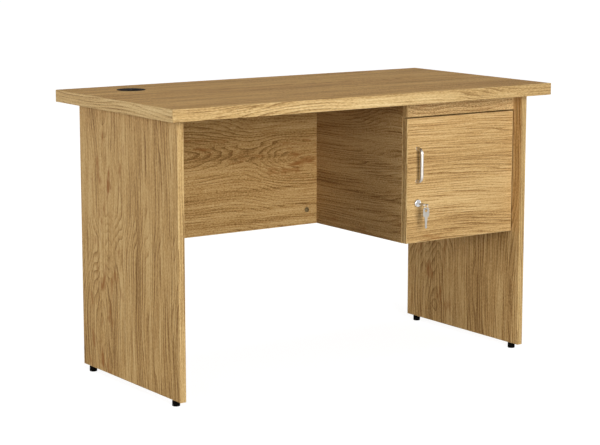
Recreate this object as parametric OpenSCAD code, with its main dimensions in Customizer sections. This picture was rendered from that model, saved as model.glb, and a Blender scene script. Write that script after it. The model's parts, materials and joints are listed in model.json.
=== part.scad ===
// Office desk with a hanging cupboard.
// A board desk in oak-look laminate: a thick top on two slab legs, a modesty panel
// between the left leg and a cupboard that hangs at the right, a door on two concealed
// hinges with a bow handle, and a cam lock with its key and a spare on a ring.
// Frame: X to the right, the front faces -Y, Z up, origin on the floor under the middle.

/* [Desktop] */
// Width of the desktop, edge bands included
top_w = 1200; // [1000:10:1500]
// Depth of the desktop, edge bands included
top_d = 600; // [560:10:700]
// Thickness of the desktop
top_t = 32; // [28:1:40]
// Height of the writing surface above the floor
desk_h = 750; // [700:5:800]
// How far the desktop stands out past each leg's outer face
side_overhang = 42; // [20:1:80]

/* [Boards] */
// Thickness of the boards of the legs, panels, shelf and door
board_t = 18; // [17:0.5:20]
// Thickness of the edge bands
band_t = 2; // [1.8:0.1:3]
// Rounding of the outer corners of the edge bands
band_r = 1.7; // [0.5:0.1:1.7]

/* [Legs] */
// Depth of the slab legs, edge bands included
leg_d = 500; // [460:5:540]
// Height of the levelling feet, which is the gap under the legs
foot_h = 15; // [12:1:20]
// Diameter of the feet
foot_dia = 20; // [16:1:24]
// Distance of a foot's centre from the leg's front or back edge
foot_inset = 35; // [25:1:60]
// Diameter of the threaded stud of a foot
stud_dia = 8; // [6:1:8]
// How far a foot screws out from its lowest setting
foot_travel = 12; // [8:1:14]

/* [Modesty panel] */
// Distance of the panel's rear face from the legs' rear edge
modesty_inset = 33; // [20:1:60]
// Height of the lower edge of the modesty panel and of the cupboard
cab_z = 334; // [300:1:420]

/* [Cupboard] */
// Width from the side panel's outer face to the right leg
cab_w = 371; // [330:1:450]
// How far the door's face lies behind the right leg's front edge
door_inset = 32.5; // [25:0.5:50]
// Height of the fixed fascia above the door
fascia_h = 44; // [40:1:80]
// Gap between the fascia and the door
door_gap_top = 3; // [2:0.5:4]
// Gap between the door and the right leg
door_gap_side = 2.5; // [2.5:0.1:4]
// Gap between the door and the side panel's front edge
door_gap_back = 2; // [1.5:0.1:3]
// How far the door's lower edge stays above the cupboard's lower edge
door_lift = 1; // [0:0.5:4]
// Extra set-back of the floor panel, where the door's edge swings in
hinge_clear = 2; // [1.5:0.5:6]
// Depth of the rail under the desktop
rail_d = 100; // [80:5:140]
// Height of the shelf's top face above the cupboard's floor
shelf_rise = 184; // [150:1:230]
// Depth of the shelf
shelf_d = 350; // [300:5:370]
// Diameter of the shelf pins
pin_dia = 5; // [4:0.5:6]
// Pitch of the spare pin holes
pin_pitch = 32; // [25:1:40]

/* [Handle] */
// Distance between the handle's two fixing screws
handle_cc = 88; // [64:1:128]
// Diameter of the handle's rod
handle_rod = 9; // [8:0.5:11]
// How far the handle stands out from the door
handle_out = 25; // [24:1:34]
// Radius of the handle's bends, at the middle of the rod
handle_bend = 14; // [10:1:18]
// Distance of the handle from the door's free edge
handle_inset = 34; // [28:1:60]
// Height of the handle's middle above the door's lower edge
handle_rise = 211; // [150:1:260]

/* [Lock] */
// Distance of the lock's axis from the door's free edge
lock_inset = 35; // [35:1:38]
// Height of the lock's axis above the door's lower edge
lock_rise = 108; // [80:1:120]
// Diameter of the lock's threaded housing
lock_dia = 19; // [18:0.5:20]
// Diameter of the lock's bezel
bezel_dia = 22; // [21.5:0.5:25]
// How far the bezel stands out from the door
bezel_out = 7; // [5:0.5:8]
// Diameter of the plug that the key turns
plug_dia = 12; // [11:0.5:13]
// How far the housing reaches behind the door's rear face
lock_back = 7.5; // [6.5:0.5:9]
// Length of the cam's tongue from the lock's axis
cam_reach = 24; // [22:0.5:26]
// Width of the cam's tongue
cam_w = 12; // [10:0.5:14]

/* [Keys] */
// Length of a key's bow
bow_len = 25; // [22:0.5:28]
// Width of a key's bow
bow_w = 20; // [18:0.5:20.5]
// Diameter of the hole in the bow
bow_hole = 9; // [8.5:0.1:10]
// Bar of metal left between the hole and the bow's end
bow_bar = 3; // [2.5:0.1:3]
// Length of the neck between the bow and the plug's face
neck_len = 9; // [6:0.5:12]
// Length of the blade inside the plug
blade_len = 22; // [18:0.5:24]
// Width of the blade
blade_w = 7; // [6:0.5:8]
// Thickness of a key
key_t = 2; // [1.6:0.1:2]
// Inner radius of the key ring
ring_r = 6.2; // [6.2:0.1:7.5]
// Thickness of the ring's wire
ring_wire = 1.4; // [1:0.1:1.5]

/* [Concealed hinges] */
// Distance of the hinge pin from the door's hinged edge
pin_in = 9.5; // [9:0.1:10.5]
// Depth of the hinge pin behind the door's face
pin_deep = 8; // [7.5:0.1:8]
// Diameter of the hinge pin
hinge_pin = 2.6; // [2:0.1:2.8]
// Diameter of the hinge cup
cup_dia = 35; // [35:0.5:36]
// Thickness of the door left between the cup and the hinged edge
cup_edge = 3.5; // [3.5:0.1:4.5]
// Distance of each hinge from the door's upper or lower edge
hinge_inset = 70; // [60:1:100]
// Width of the goose-neck arm
arm_w = 11; // [9:0.5:11]
// Thickness of the arm's steel
arm_t = 2.6; // [2:0.1:2.6]

/* [Fittings] */
// Distance of a cam's centre from the board's end
cam_back = 34; // [30:0.5:36]
// Diameter of the cam fittings
cam_dia = 15; // [14:0.5:16]
// Depth of the cam fittings
cam_h = 13.5; // [12:0.5:14]
// Diameter of the wooden dowels
dowel_dia = 8; // [6:0.5:8]
// Length of the dowels
dowel_len = 30; // [26:1:36]
// Radial clearance of a fastener in its hole
fit = 0.1; // [0.05:0.05:0.15]
// Radial clearance of a shaft or pin that turns
run = 0.05; // [0.03:0.01:0.1]
// Gap between pieces that move past each other
gap = 0.3; // [0.2:0.05:0.5]
// Hairline left where two edge bands meet at a corner
butt = 0.1; // [0.05:0.05:0.3]

/* [Cable outlet] */
// Distance of the outlet's centre from the desktop's left edge
outlet_x = 161.5; // [120:0.5:260]
// Distance of the outlet's centre from the desktop's rear edge
outlet_y = 116; // [80:1:160]
// Diameter of the hole through the desktop
outlet_hole = 64; // [58:1:68]
// Diameter of the flange
outlet_flange = 76; // [74:1:84]
// Thickness of the flange
flange_t = 2.5; // [2.4:0.1:3.5]
// How far the flange stands out of the rebate it is let into
outlet_proud = 0.8; // [0.4:0.1:1.2]
// Width of the cable notch in the cap
notch_w = 20; // [12:1:24]
// Depth of the cable notch in the cap
notch_d = 15; // [10:1:18]

/* [Hidden] */
$fn = 64;

oak = [0.76, 0.61, 0.38];
oak_band = [0.84, 0.70, 0.47];
steel = [0.78, 0.78, 0.80];
zinc = [0.66, 0.67, 0.69];
black_plastic = [0.07, 0.07, 0.08];
beech = [0.80, 0.65, 0.47];
clear_pad = [0.85, 0.85, 0.82];

// Legs
leg_out = top_w / 2 - side_overhang;
leg_in = leg_out - board_t;
leg_mid = leg_out - board_t / 2;
leg_front = -leg_d / 2;
leg_back = leg_d / 2;
under_top = desk_h - top_t;
foot_y = leg_d / 2 - foot_inset;

// Modesty panel and cupboard
modesty_back = leg_back - modesty_inset;
modesty_front = modesty_back - board_t;
modesty_mid = modesty_back - board_t / 2;
side_out = leg_in - cab_w;
side_in = side_out + board_t;
side_mid = side_out + board_t / 2;
floor_top = cab_z + board_t;
rail_z = under_top - board_t;

// Door and fascia
door_front = leg_front + door_inset;
door_back = door_front + board_t;
side_front = door_back + door_gap_back;
floor_front = side_front + hinge_clear;
door_left = side_out;
door_right = leg_in - door_gap_side;
door_z = cab_z + door_lift;
door_top = under_top - fascia_h - door_gap_top;
fascia_z = under_top - fascia_h;
fascia_front = side_front - board_t;
rail_back = side_front + rail_d;

// Shelf
shelf_top = floor_top + shelf_rise;
shelf_z = shelf_top - board_t;
shelf_gap = 1;
shelf_back = modesty_front - shelf_gap;
shelf_front = shelf_back - shelf_d;
pin_z = shelf_z - pin_dia / 2;
pin_rows = [shelf_front + 50, shelf_back - 50];
pin_hole_deep = 9;
pin_steps = [-2 : 2];

// Handle
handle_x = door_left + handle_inset;
handle_z = door_z + handle_rise;
handle_bar_y = door_front - handle_out + handle_rod / 2;
handle_screw = 4;
handle_grip = 8;
handle_collar = 1;
handle_collar_t = 1;

// Lock and keys
lock_x = door_left + lock_inset;
lock_z = door_z + lock_rise;
plug_face = door_front - bezel_out;
housing_end = door_back + lock_back;
nut_t = 4;
nut_af = 24;
lock_flats = lock_dia - 2.6;
cam_t = 2.5;
cam_y = housing_end + gap;
cam_square = 6;
cam_hub = 8;
cam_screw = 3;
cam_screw_deep = 5.5;
keyway_deep = blade_len + 0.5;
key_gap = 0.15;
key_end = plug_face - neck_len - bow_len;
bar_y = key_end + bow_bar / 2;
bow_r = 5;
neck_w = 9;
KEY_CUTS = [0.5, 1.4, 0.9, 1.8, 0.7];

// Key ring: its centre hangs so far under the bow's end bar that the wire almost
// touches the bar's two upper edges.
ring_seat = 0.4;
ring_mid_r = ring_r + ring_wire / 2;
ring_drop = sqrt(pow(ring_r - ring_seat, 2) - pow(bow_bar / 2, 2)) - key_t / 2;
ring_z = lock_z - ring_drop;
hang_z = ring_z - ring_mid_r;
spare_top = hang_z + ring_wire / 2 + gap + bow_bar;

// Hinges
pin_x = door_right - pin_in;
pin_y = door_front + pin_deep;
cup_x = door_right - cup_edge - cup_dia / 2;
cup_wall = 1.2;
cup_floor = 0.7;
boss_r = hinge_pin / 2 + 1.1;
cup_bottom = pin_y - boss_r - 0.4 - cup_floor;
cheek_t = 2.5;
cheek_z = arm_w / 2 + 0.5;
cup_plate = 1.2;
cup_rim = 1;
ear_w = 13;
ear_x = cup_x - 5.5;
ear_cc = 48;
hinge_levels = [door_z + hinge_inset, door_top - hinge_inset];
arm_left = pin_x - (board_t - pin_deep) - arm_t - 2.4;
arm_turn_y = pin_y + 14;
arm_bend = 1.4;
plate_t = 2;
block_t = 3.5;
block_face = leg_in - plate_t - block_t;
plate_y0 = arm_turn_y + 6;
plate_len = 44;
plate_mid = plate_y0 + plate_len / 2;
arm_screw_cc = 26;
arm_screw_rows = [plate_mid - arm_screw_cc / 2, plate_mid + arm_screw_cc / 2];
wing_cc = 32;
wood_screw = 3.5;
wood_screw_len = 14;
ear_screw_deep = 10;
ear_head_t = 1.4;
pan_head_t = 2;
recess_w = 4;
recess_t = 0.8;
recess_deep = 1;

// Cable outlet
outlet_cx = -top_w / 2 + outlet_x;
outlet_cy = top_d / 2 - outlet_y;
outlet_z = desk_h + outlet_proud - flange_t;
liner_len = 24;
liner_wall = 2;
ledge_w = 2;
cap_t = flange_t - 0.3;
cap_r = outlet_hole / 2 - liner_wall - gap;
skirt_r = outlet_hole / 2 - liner_wall - ledge_w - gap;
skirt_wall = 2;
skirt_len = 9;

// Feet
foot_gap = 0.4;
insert_dia = 12;
stud_hold = 14;
insert_len = foot_travel + stud_hold;
insert_flange = 15;
insert_flange_t = 1.5;
stud_z = 3;
pad_chamfer = 1;
grip_z = 5;
grip_r = 1.2;
grip_step = 30;

// Places of the feet: left front, right front, left back, right back
FEET = [[-leg_mid, -foot_y], [leg_mid, -foot_y], [-leg_mid, foot_y], [leg_mid, foot_y]];

// Fastening scheme. Each row joins the face of the first board to the end of the
// second: [first board, second board, place on the face, turn].
// In its own frame a joint runs along +X into the second board, and a cam opens on +Z.
UP_LEFT = [0, 90, 0];
UP_RIGHT = [0, 90, 180];
TO_RIGHT = [90, 0, 0];
TO_LEFT = [-90, 0, 180];
FLAT_RIGHT = [180, 0, 0];
FLAT_LEFT = [0, 180, 0];
TO_BACK = [0, 0, 90];

corner_in = 42;
modesty_levels = [cab_z + corner_in, under_top - corner_in];
back_levels = [cab_z + corner_in + 50, under_top - corner_in - 50];
floor_rows = [-130, 130];
top_rows = [-leg_d * 0.34, leg_d * 0.34];
side_rows = [-100, 130];
rail_mid = side_front + rail_d / 2;
flat_z = cab_z + board_t / 2;
rail_mid_z = rail_z + board_t / 2;

CAM_JOINTS = [
    for (y = top_rows) ["desktop", "left_leg", [-leg_mid, y, under_top], UP_LEFT],
    for (y = top_rows) ["desktop", "right_leg", [leg_mid, y, under_top], UP_RIGHT],
    for (y = side_rows) ["desktop", "side", [side_mid, y, under_top], UP_LEFT],
    for (z = modesty_levels) ["left_leg", "modesty", [-leg_in, modesty_mid, z], TO_RIGHT],
    for (z = modesty_levels) ["side", "modesty", [side_out, modesty_mid, z], TO_LEFT],
    for (z = back_levels) ["side", "back", [side_in, modesty_mid, z], TO_RIGHT],
    for (z = back_levels) ["right_leg", "back", [leg_in, modesty_mid, z], TO_LEFT],
    for (y = floor_rows) ["side", "floor", [side_in, y, flat_z], FLAT_RIGHT],
    for (y = floor_rows) ["right_leg", "floor", [leg_in, y, flat_z], FLAT_LEFT],
    ["side", "rail", [side_in, rail_mid, rail_mid_z], FLAT_RIGHT],
    ["right_leg", "rail", [leg_in, rail_mid, rail_mid_z], FLAT_LEFT]
];

dowel_step = 95;
modesty_dowels = [modesty_levels[0] + dowel_step, modesty_levels[1] - dowel_step];
back_dowels = [back_levels[0] + dowel_step - 10, back_levels[1] - dowel_step + 10];
rail_dowels = [rail_mid - rail_d / 3, rail_mid + rail_d / 3];
fascia_dowel_in = 60;
fascia_dowels = [side_in + fascia_dowel_in, (side_in + leg_in) / 2, leg_in - fascia_dowel_in];
leg_dowel_in = 35;
leg_dowels = [leg_dowel_in - leg_d / 2, 0, leg_d / 2 - leg_dowel_in];
side_dowels = [-50, 60];
floor_dowels = [-60, 60];
fascia_dowel_drop = 6;
fascia_mid_y = side_front - board_t / 2;
fascia_mid_z = fascia_z + fascia_h / 2;

DOWEL_JOINTS = [
    for (y = leg_dowels) ["desktop", "left_leg", [-leg_mid, y, under_top], UP_LEFT],
    for (y = leg_dowels) ["desktop", "right_leg", [leg_mid, y, under_top], UP_RIGHT],
    for (y = side_dowels) ["desktop", "side", [side_mid, y, under_top], UP_LEFT],
    for (z = modesty_dowels) ["left_leg", "modesty", [-leg_in, modesty_mid, z], TO_RIGHT],
    for (z = modesty_dowels) ["side", "modesty", [side_out, modesty_mid, z], TO_LEFT],
    for (z = back_dowels) ["side", "back", [side_in, modesty_mid, z], TO_RIGHT],
    for (z = back_dowels) ["right_leg", "back", [leg_in, modesty_mid, z], TO_LEFT],
    for (y = floor_dowels) ["side", "floor", [side_in, y, flat_z], FLAT_RIGHT],
    for (y = floor_dowels) ["right_leg", "floor", [leg_in, y, flat_z], FLAT_LEFT],
    for (y = rail_dowels) ["side", "rail", [side_in, y, rail_mid_z], FLAT_RIGHT],
    for (y = rail_dowels) ["right_leg", "rail", [leg_in, y, rail_mid_z], FLAT_LEFT],
    for (x = fascia_dowels) ["fascia", "rail", [x, side_front, rail_mid_z], TO_BACK],
    ["fascia", "side", [side_mid, side_front, fascia_mid_z - fascia_dowel_drop], TO_BACK],
    ["right_leg", "fascia", [leg_in, fascia_mid_y, fascia_mid_z], FLAT_LEFT]
];

bolt_dia = 5;
bolt_shank = 6;
bolt_bore = 7;
bolt_deep = 11;
bolt_head = 3;
slot_w = 7.4;
dowel_face = 10;
dowel_end = dowel_len - dowel_face;
dowel_room = 0.5;
over = 1;

// A plain board between two corners
module board(low, high) {
    translate(low)
        cube(high - low);
}

// Section of an edge band: flat against the board at y = 0, rounded on the outside
module band_section(w) {
    intersection() {
        translate([-w / 2, -band_t])
            square([w, band_t]);
        union() {
            translate([-w / 2, band_r - band_t])
                square([w, band_t]);
            translate([-w / 2 + band_r, -band_t])
                square([w - 2 * band_r, band_t]);
            for (s = [-1, 1])
                translate([s * (w / 2 - band_r), band_r - band_t])
                    circle(band_r);
        }
    }
}

// Bands named by the side they face: they start at the given place and run along
// +X, +Y or +Z. The place is on the board's edge, at the middle of its thickness.
module band_front_x(len, w) {
    rotate([0, 90, 0])
        linear_extrude(len)
            band_section(w);
}

module band_back_x(len, w) {
    mirror([0, 1, 0])
        band_front_x(len, w);
}

module band_right_y(len, w) {
    rotate([0, 0, 90])
        band_front_x(len, w);
}

module band_left_y(len, w) {
    mirror([1, 0, 0])
        band_right_y(len, w);
}

module band_down_x(len, w) {
    rotate([90, 0, 0])
        band_front_x(len, w);
}

module band_up_x(len, w) {
    mirror([0, 0, 1])
        band_down_x(len, w);
}

module band_down_y(len, w) {
    rotate([0, 0, 90])
        band_down_x(len, w);
}

module band_front_z(len, w) {
    linear_extrude(len)
        band_section(w);
}

module band_back_z(len, w) {
    mirror([0, 1, 0])
        band_front_z(len, w);
}

module band_right_z(len, w) {
    rotate([0, 0, 90])
        band_front_z(len, w);
}

module band_left_z(len, w) {
    mirror([1, 0, 0])
        band_right_z(len, w);
}

// Cylinder along +X from x0 to x1
module rod_x(x0, x1, d) {
    translate([x0, 0, 0])
        rotate([0, 90, 0])
            cylinder(h = x1 - x0, d = d);
}

// Cylinder along +Y from y0 to y1
module rod_y(y0, y1, d) {
    translate([0, y0, 0])
        rotate([-90, 0, 0])
            cylinder(h = y1 - y0, d = d);
}

// What the fastening scheme takes out of the named board
module fitting_cuts(name) {
    for (j = CAM_JOINTS)
        translate(j[2])
            rotate(j[3]) {
                if (j[0] == name)
                    rod_x(-bolt_deep - dowel_room, over, bolt_dia + 2 * fit);
                if (j[1] == name) {
                    rod_x(-over, cam_back, bolt_bore);
                    translate([cam_back, 0, board_t / 2 - cam_h])
                        cylinder(h = cam_h + over, d = cam_dia + 2 * fit);
                }
            }
    for (j = DOWEL_JOINTS)
        translate(j[2])
            rotate(j[3]) {
                if (j[0] == name)
                    rod_x(-dowel_face - dowel_room, over, dowel_dia + 2 * fit);
                if (j[1] == name)
                    rod_x(-over, dowel_end + dowel_room, dowel_dia + 2 * fit);
            }
}

// Rows of holes for the shelf pins, drilled along +X from the plane x = 0
module pin_holes() {
    for (y = pin_rows, k = pin_steps)
        translate([0, y, pin_z + k * pin_pitch])
            rod_x(-over, pin_hole_deep, pin_dia + 2 * fit);
}

module desktop_panel() {
    color(oak)
        difference() {
            board([-top_w / 2 + band_t, -top_d / 2 + band_t, under_top],
                  [top_w / 2 - band_t, top_d / 2 - band_t, desk_h]);
            translate([outlet_cx, outlet_cy, 0]) {
                translate([0, 0, under_top - over])
                    cylinder(h = top_t, d = outlet_hole + 2 * fit);
                translate([0, 0, outlet_z])
                    cylinder(h = flange_t, d = outlet_flange + 2 * fit);
            }
            fitting_cuts("desktop");
        }
}

module desktop_edge_bands() {
    mid = under_top + top_t / 2;
    side_y = -top_d / 2 + band_t + butt;
    side_len = top_d - 2 * (band_t + butt);
    color(oak_band) {
        translate([-top_w / 2, -top_d / 2 + band_t, mid])
            band_front_x(top_w, top_t);
        translate([-top_w / 2, top_d / 2 - band_t, mid])
            band_back_x(top_w, top_t);
        translate([top_w / 2 - band_t, side_y, mid])
            band_right_y(side_len, top_t);
        translate([-top_w / 2 + band_t, side_y, mid])
            band_left_y(side_len, top_t);
    }
}

// Left slab leg, without its bands
module leg_core() {
    board([-leg_out, leg_front + band_t, foot_h + band_t],
          [-leg_in, leg_back - band_t, under_top]);
}

// Holes in a leg's lower edge for the feet
module foot_holes() {
    for (s = [-1, 1])
        translate([-leg_mid, s * foot_y, foot_h - over]) {
            cylinder(h = over + insert_len + dowel_room, d = insert_dia + 2 * fit);
            cylinder(h = over + insert_flange_t, d = insert_flange + 2 * fit);
        }
}

module leg_bands() {
    difference() {
        union() {
            translate([-leg_mid, leg_front + band_t, foot_h])
                band_front_z(under_top - foot_h, board_t);
            translate([-leg_mid, leg_back - band_t, foot_h])
                band_back_z(under_top - foot_h, board_t);
            translate([-leg_mid, leg_front + band_t + butt, foot_h + band_t])
                band_down_y(leg_d - 2 * (band_t + butt), board_t);
        }
        foot_holes();
    }
}

module left_leg_panel() {
    color(oak)
        difference() {
            leg_core();
            foot_holes();
            fitting_cuts("left_leg");
        }
}

module left_leg_edge_bands() {
    color(oak_band)
        leg_bands();
}

module right_leg_panel() {
    color(oak)
        difference() {
            mirror([1, 0, 0])
                difference() {
                    leg_core();
                    foot_holes();
                }
            fitting_cuts("right_leg");
            translate([leg_in, 0, 0])
                pin_holes();
            hinge_plate_places()
                plate_screw_holes();
        }
}

module right_leg_edge_bands() {
    color(oak_band)
        mirror([1, 0, 0])
            leg_bands();
}

module modesty_panel() {
    color(oak)
        difference() {
            board([-leg_in, modesty_front, cab_z + band_t],
                  [side_out, modesty_back, under_top]);
            fitting_cuts("modesty");
        }
}

module modesty_edge_band() {
    color(oak_band)
        translate([-leg_in, modesty_mid, cab_z + band_t])
            band_down_x(side_out + leg_in, board_t);
}

// Mortise in the side panel that the lock's tongue turns into
module cam_mortise() {
    deep = cam_reach - (lock_x - side_in) + 2 * gap;
    low = sqrt(pow(cam_reach, 2) - pow(lock_x - side_in, 2)) + cam_w / 2 + 1;
    translate([side_in - deep, cam_y - 2 * gap, lock_z - low])
        cube([deep + over, cam_t + 4 * gap, low + cam_w / 2 + 1]);
}

module cupboard_side_panel() {
    color(oak)
        difference() {
            board([side_out, side_front + band_t, cab_z + band_t],
                  [side_in, modesty_back - band_t, under_top]);
            fitting_cuts("side");
            mirror([1, 0, 0])
                translate([-side_in, 0, 0])
                    pin_holes();
            cam_mortise();
        }
}

module cupboard_side_edge_bands() {
    color(oak_band)
        difference() {
            union() {
                translate([side_mid, side_front + band_t, cab_z])
                    band_front_z(under_top - cab_z, board_t);
                translate([side_mid, modesty_back - band_t, cab_z])
                    band_back_z(under_top - cab_z, board_t);
                translate([side_mid, side_front + band_t + butt, cab_z + band_t])
                    band_down_y(modesty_back - side_front - 2 * (band_t + butt), board_t);
            }
            fitting_cuts("side");
        }
}

module cupboard_floor_panel() {
    color(oak)
        difference() {
            board([side_in, floor_front + band_t, cab_z],
                  [leg_in, modesty_front, floor_top]);
            fitting_cuts("floor");
        }
}

module cupboard_floor_edge_band() {
    color(oak_band)
        translate([side_in, floor_front + band_t, cab_z + board_t / 2])
            band_front_x(leg_in - side_in, board_t);
}

module cupboard_back_panel() {
    color(oak)
        difference() {
            board([side_in, modesty_front, cab_z + band_t],
                  [leg_in, modesty_back, under_top]);
            fitting_cuts("back");
        }
}

module cupboard_back_edge_band() {
    color(oak_band)
        translate([side_in, modesty_mid, cab_z + band_t])
            band_down_x(leg_in - side_in, board_t);
}

module cupboard_top_rail() {
    color(oak)
        difference() {
            board([side_in, side_front, rail_z], [leg_in, rail_back, under_top]);
            fitting_cuts("rail");
        }
}

module fascia_rail() {
    color(oak)
        difference() {
            board([side_out + band_t, fascia_front, fascia_z + band_t],
                  [leg_in, side_front, under_top]);
            fitting_cuts("fascia");
        }
}

module fascia_edge_bands() {
    color(oak_band) {
        translate([side_out, fascia_mid_y, fascia_z + band_t])
            band_down_x(leg_in - side_out, board_t);
        translate([side_out + band_t, fascia_mid_y, fascia_z + band_t + butt])
            band_left_z(fascia_h - band_t - butt, board_t);
    }
}

module shelf_panel() {
    color(oak)
        board([side_in + shelf_gap, shelf_front + band_t, shelf_z],
              [leg_in - shelf_gap, shelf_back, shelf_top]);
}

module shelf_edge_band() {
    color(oak_band)
        translate([side_in + shelf_gap, shelf_front + band_t, shelf_z + board_t / 2])
            band_front_x(leg_in - side_in - 2 * shelf_gap, board_t);
}

// One shelf pin in its own frame: pressed into the hole at -X, its collar against the
// panel at x = 0, with a flat spade under the shelf
module shelf_pin() {
    collar = 0.9;
    spade = 9;
    difference() {
        union() {
            rod_x(-pin_hole_deep + dowel_room, spade, pin_dia);
            rod_x(0, collar, pin_dia + 3);
        }
        translate([-over, -pin_dia, pin_dia / 2])
            cube([spade + 2 * over, 2 * pin_dia, pin_dia]);
    }
}

module shelf_pins() {
    color(steel)
        for (y = pin_rows) {
            translate([side_in, y, pin_z])
                shelf_pin();
            translate([leg_in, y, pin_z])
                mirror([1, 0, 0])
                    shelf_pin();
        }
}

module door_panel() {
    color(oak)
        difference() {
            board([door_left + band_t, door_front, door_z + band_t],
                  [door_right - band_t, door_back, door_top - band_t]);
            for (z = hinge_levels) {
                translate([cup_x, 0, z])
                    rod_y(cup_bottom, door_back + over, cup_dia + 2 * fit);
                for (s = [-1, 1])
                    translate([ear_x, 0, z + s * ear_cc / 2])
                        rod_y(door_back - ear_screw_deep - dowel_room, door_back + over,
                              wood_screw + 2 * fit);
            }
            translate([lock_x, 0, lock_z])
                rod_y(door_front - over, door_back + over, lock_dia + 2 * fit);
            for (s = [-1, 1])
                translate([handle_x, 0, handle_z + s * handle_cc / 2])
                    rod_y(door_front - over, door_back + over, handle_screw + 4 * fit);
        }
}

module door_edge_bands() {
    mid = (door_front + door_back) / 2;
    level_x = door_left + band_t + butt;
    level_len = door_right - door_left - 2 * (band_t + butt);
    color(oak_band) {
        translate([door_left + band_t, mid, door_z])
            band_left_z(door_top - door_z, board_t);
        translate([door_right - band_t, mid, door_z])
            band_right_z(door_top - door_z, board_t);
        translate([level_x, mid, door_z + band_t])
            band_down_x(level_len, board_t);
        translate([level_x, mid, door_top - band_t])
            band_up_x(level_len, board_t);
    }
}

// Bow handle: two feet, two bends and a straight bar of round rod
module door_handle() {
    half = handle_cc / 2;
    foot_len = handle_out - handle_rod / 2 - handle_bend;
    color(steel)
        translate([handle_x, 0, handle_z])
            difference() {
                union() {
                    for (s = [-1, 1])
                        translate([0, 0, s * half]) {
                            rod_y(door_front - foot_len, door_front, handle_rod);
                            rod_y(door_front - handle_collar_t, door_front,
                                  handle_rod + handle_collar);
                        }
                    translate([0, handle_bar_y, handle_bend - half])
                        cylinder(h = handle_cc - 2 * handle_bend, d = handle_rod);
                    for (s = [0, 1])
                        mirror([0, 0, s])
                            translate([0, handle_bar_y + handle_bend, half - handle_bend])
                                rotate([0, -90, 0])
                                    rotate([0, 0, -90])
                                        rotate_extrude(angle = 90)
                                            translate([handle_bend, 0])
                                                circle(d = handle_rod);
                }
                for (s = [-1, 1])
                    translate([0, 0, s * half])
                        rod_y(door_front - handle_grip - dowel_room, door_front + over,
                              handle_screw + 2 * fit);
            }
}

// Pan-head machine screws from the inside of the door into the handle's feet
module handle_screws() {
    color(zinc)
        for (s = [-1, 1])
            translate([handle_x, 0, handle_z + s * handle_cc / 2])
                difference() {
                    union() {
                        rod_y(door_front - handle_grip, door_back, handle_screw);
                        rod_y(door_back, door_back + pan_head_t, 2 * handle_screw);
                    }
                    cross_recess(door_back + pan_head_t);
                }
}

// Cross recess of a screw whose head faces +Y and ends at the given place
module cross_recess(head_y) {
    for (a = [0, 90])
        rotate([0, a, 0])
            translate([-recess_w / 2, head_y - recess_deep, -recess_t / 2])
                cube([recess_w, recess_deep + over, recess_t]);
}

// Cross recess of a screw whose head faces -X, at the given distance
module cross_recess_left(head_x) {
    rotate([0, 0, 90])
        cross_recess(head_x);
}

module bumper_pads() {
    color(clear_pad)
        for (z = [door_z + 25, door_top - 25])
            translate([side_mid, 0, z])
                rod_y(door_back, side_front - gap, 8);
}

// Cup of one hinge in the XZ plane of its level: a pot with two cheeks that carry the
// pin, and a plate with two ears on the door's rear face
module hinge_cup() {
    difference() {
        union() {
            difference() {
                translate([cup_x, 0, 0])
                    rod_y(cup_bottom, door_back, cup_dia);
                translate([cup_x, 0, 0])
                    rod_y(cup_bottom + cup_floor, door_back + over,
                          cup_dia - 2 * cup_wall);
            }
            intersection() {
                translate([cup_x, 0, 0])
                    rod_y(cup_bottom, door_back, cup_dia);
                for (s = [-1, 1])
                    translate([pin_x - 16, cup_bottom, s * (cheek_z + cheek_t / 2)])
                        translate([0, 0, -cheek_t / 2])
                            cube([24, door_back - cup_bottom, cheek_t]);
            }
            translate([cup_x, 0, 0])
                rod_y(door_back, door_back + cup_plate, cup_dia + 2 * cup_rim);
            for (s = [-1, 1])
                translate([ear_x, 0, s * ear_cc / 2])
                    rod_y(door_back, door_back + cup_plate, ear_w);
            translate([ear_x - ear_w / 2, door_back, -ear_cc / 2])
                cube([ear_w, cup_plate, ear_cc]);
        }
        translate([cup_x, 0, 0])
            rod_y(door_back, door_back + cup_plate + over, cup_dia - 2 * cup_wall);
        translate([pin_x, pin_y, -cheek_z - cheek_t - over])
            cylinder(h = 2 * (cheek_z + cheek_t + over), d = hinge_pin + 2 * run);
        for (s = [-1, 1])
            translate([ear_x, 0, s * ear_cc / 2])
                rod_y(door_back - over, door_back + cup_plate + over,
                      wood_screw + 2 * fit);
    }
}

module hinge_cups() {
    color(steel)
        for (z = hinge_levels)
            translate([0, 0, z])
                hinge_cup();
}

module hinge_pins() {
    color(zinc)
        for (z = hinge_levels)
            translate([pin_x, pin_y, z - cheek_z - cheek_t])
                cylinder(h = 2 * (cheek_z + cheek_t), d = hinge_pin);
}

module hinge_cup_screws() {
    head = door_back + cup_plate;
    color(zinc)
        for (z = hinge_levels, s = [-1, 1])
            translate([ear_x, 0, z + s * ear_cc / 2])
                difference() {
                    union() {
                        rod_y(door_back - ear_screw_deep, head, wood_screw);
                        rod_y(head, head + ear_head_t, 2 * wood_screw);
                    }
                    cross_recess(head + ear_head_t);
                }
}

// Quarter bend of the arm's strip round the given centre, in the quadrant [sx, sy]
module arm_corner(sx, sy) {
    intersection() {
        difference() {
            circle(arm_bend + arm_t);
            circle(arm_bend);
        }
        translate([sx > 0 ? 0 : -20, sy > 0 ? 0 : -20])
            square(20);
    }
}

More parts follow.
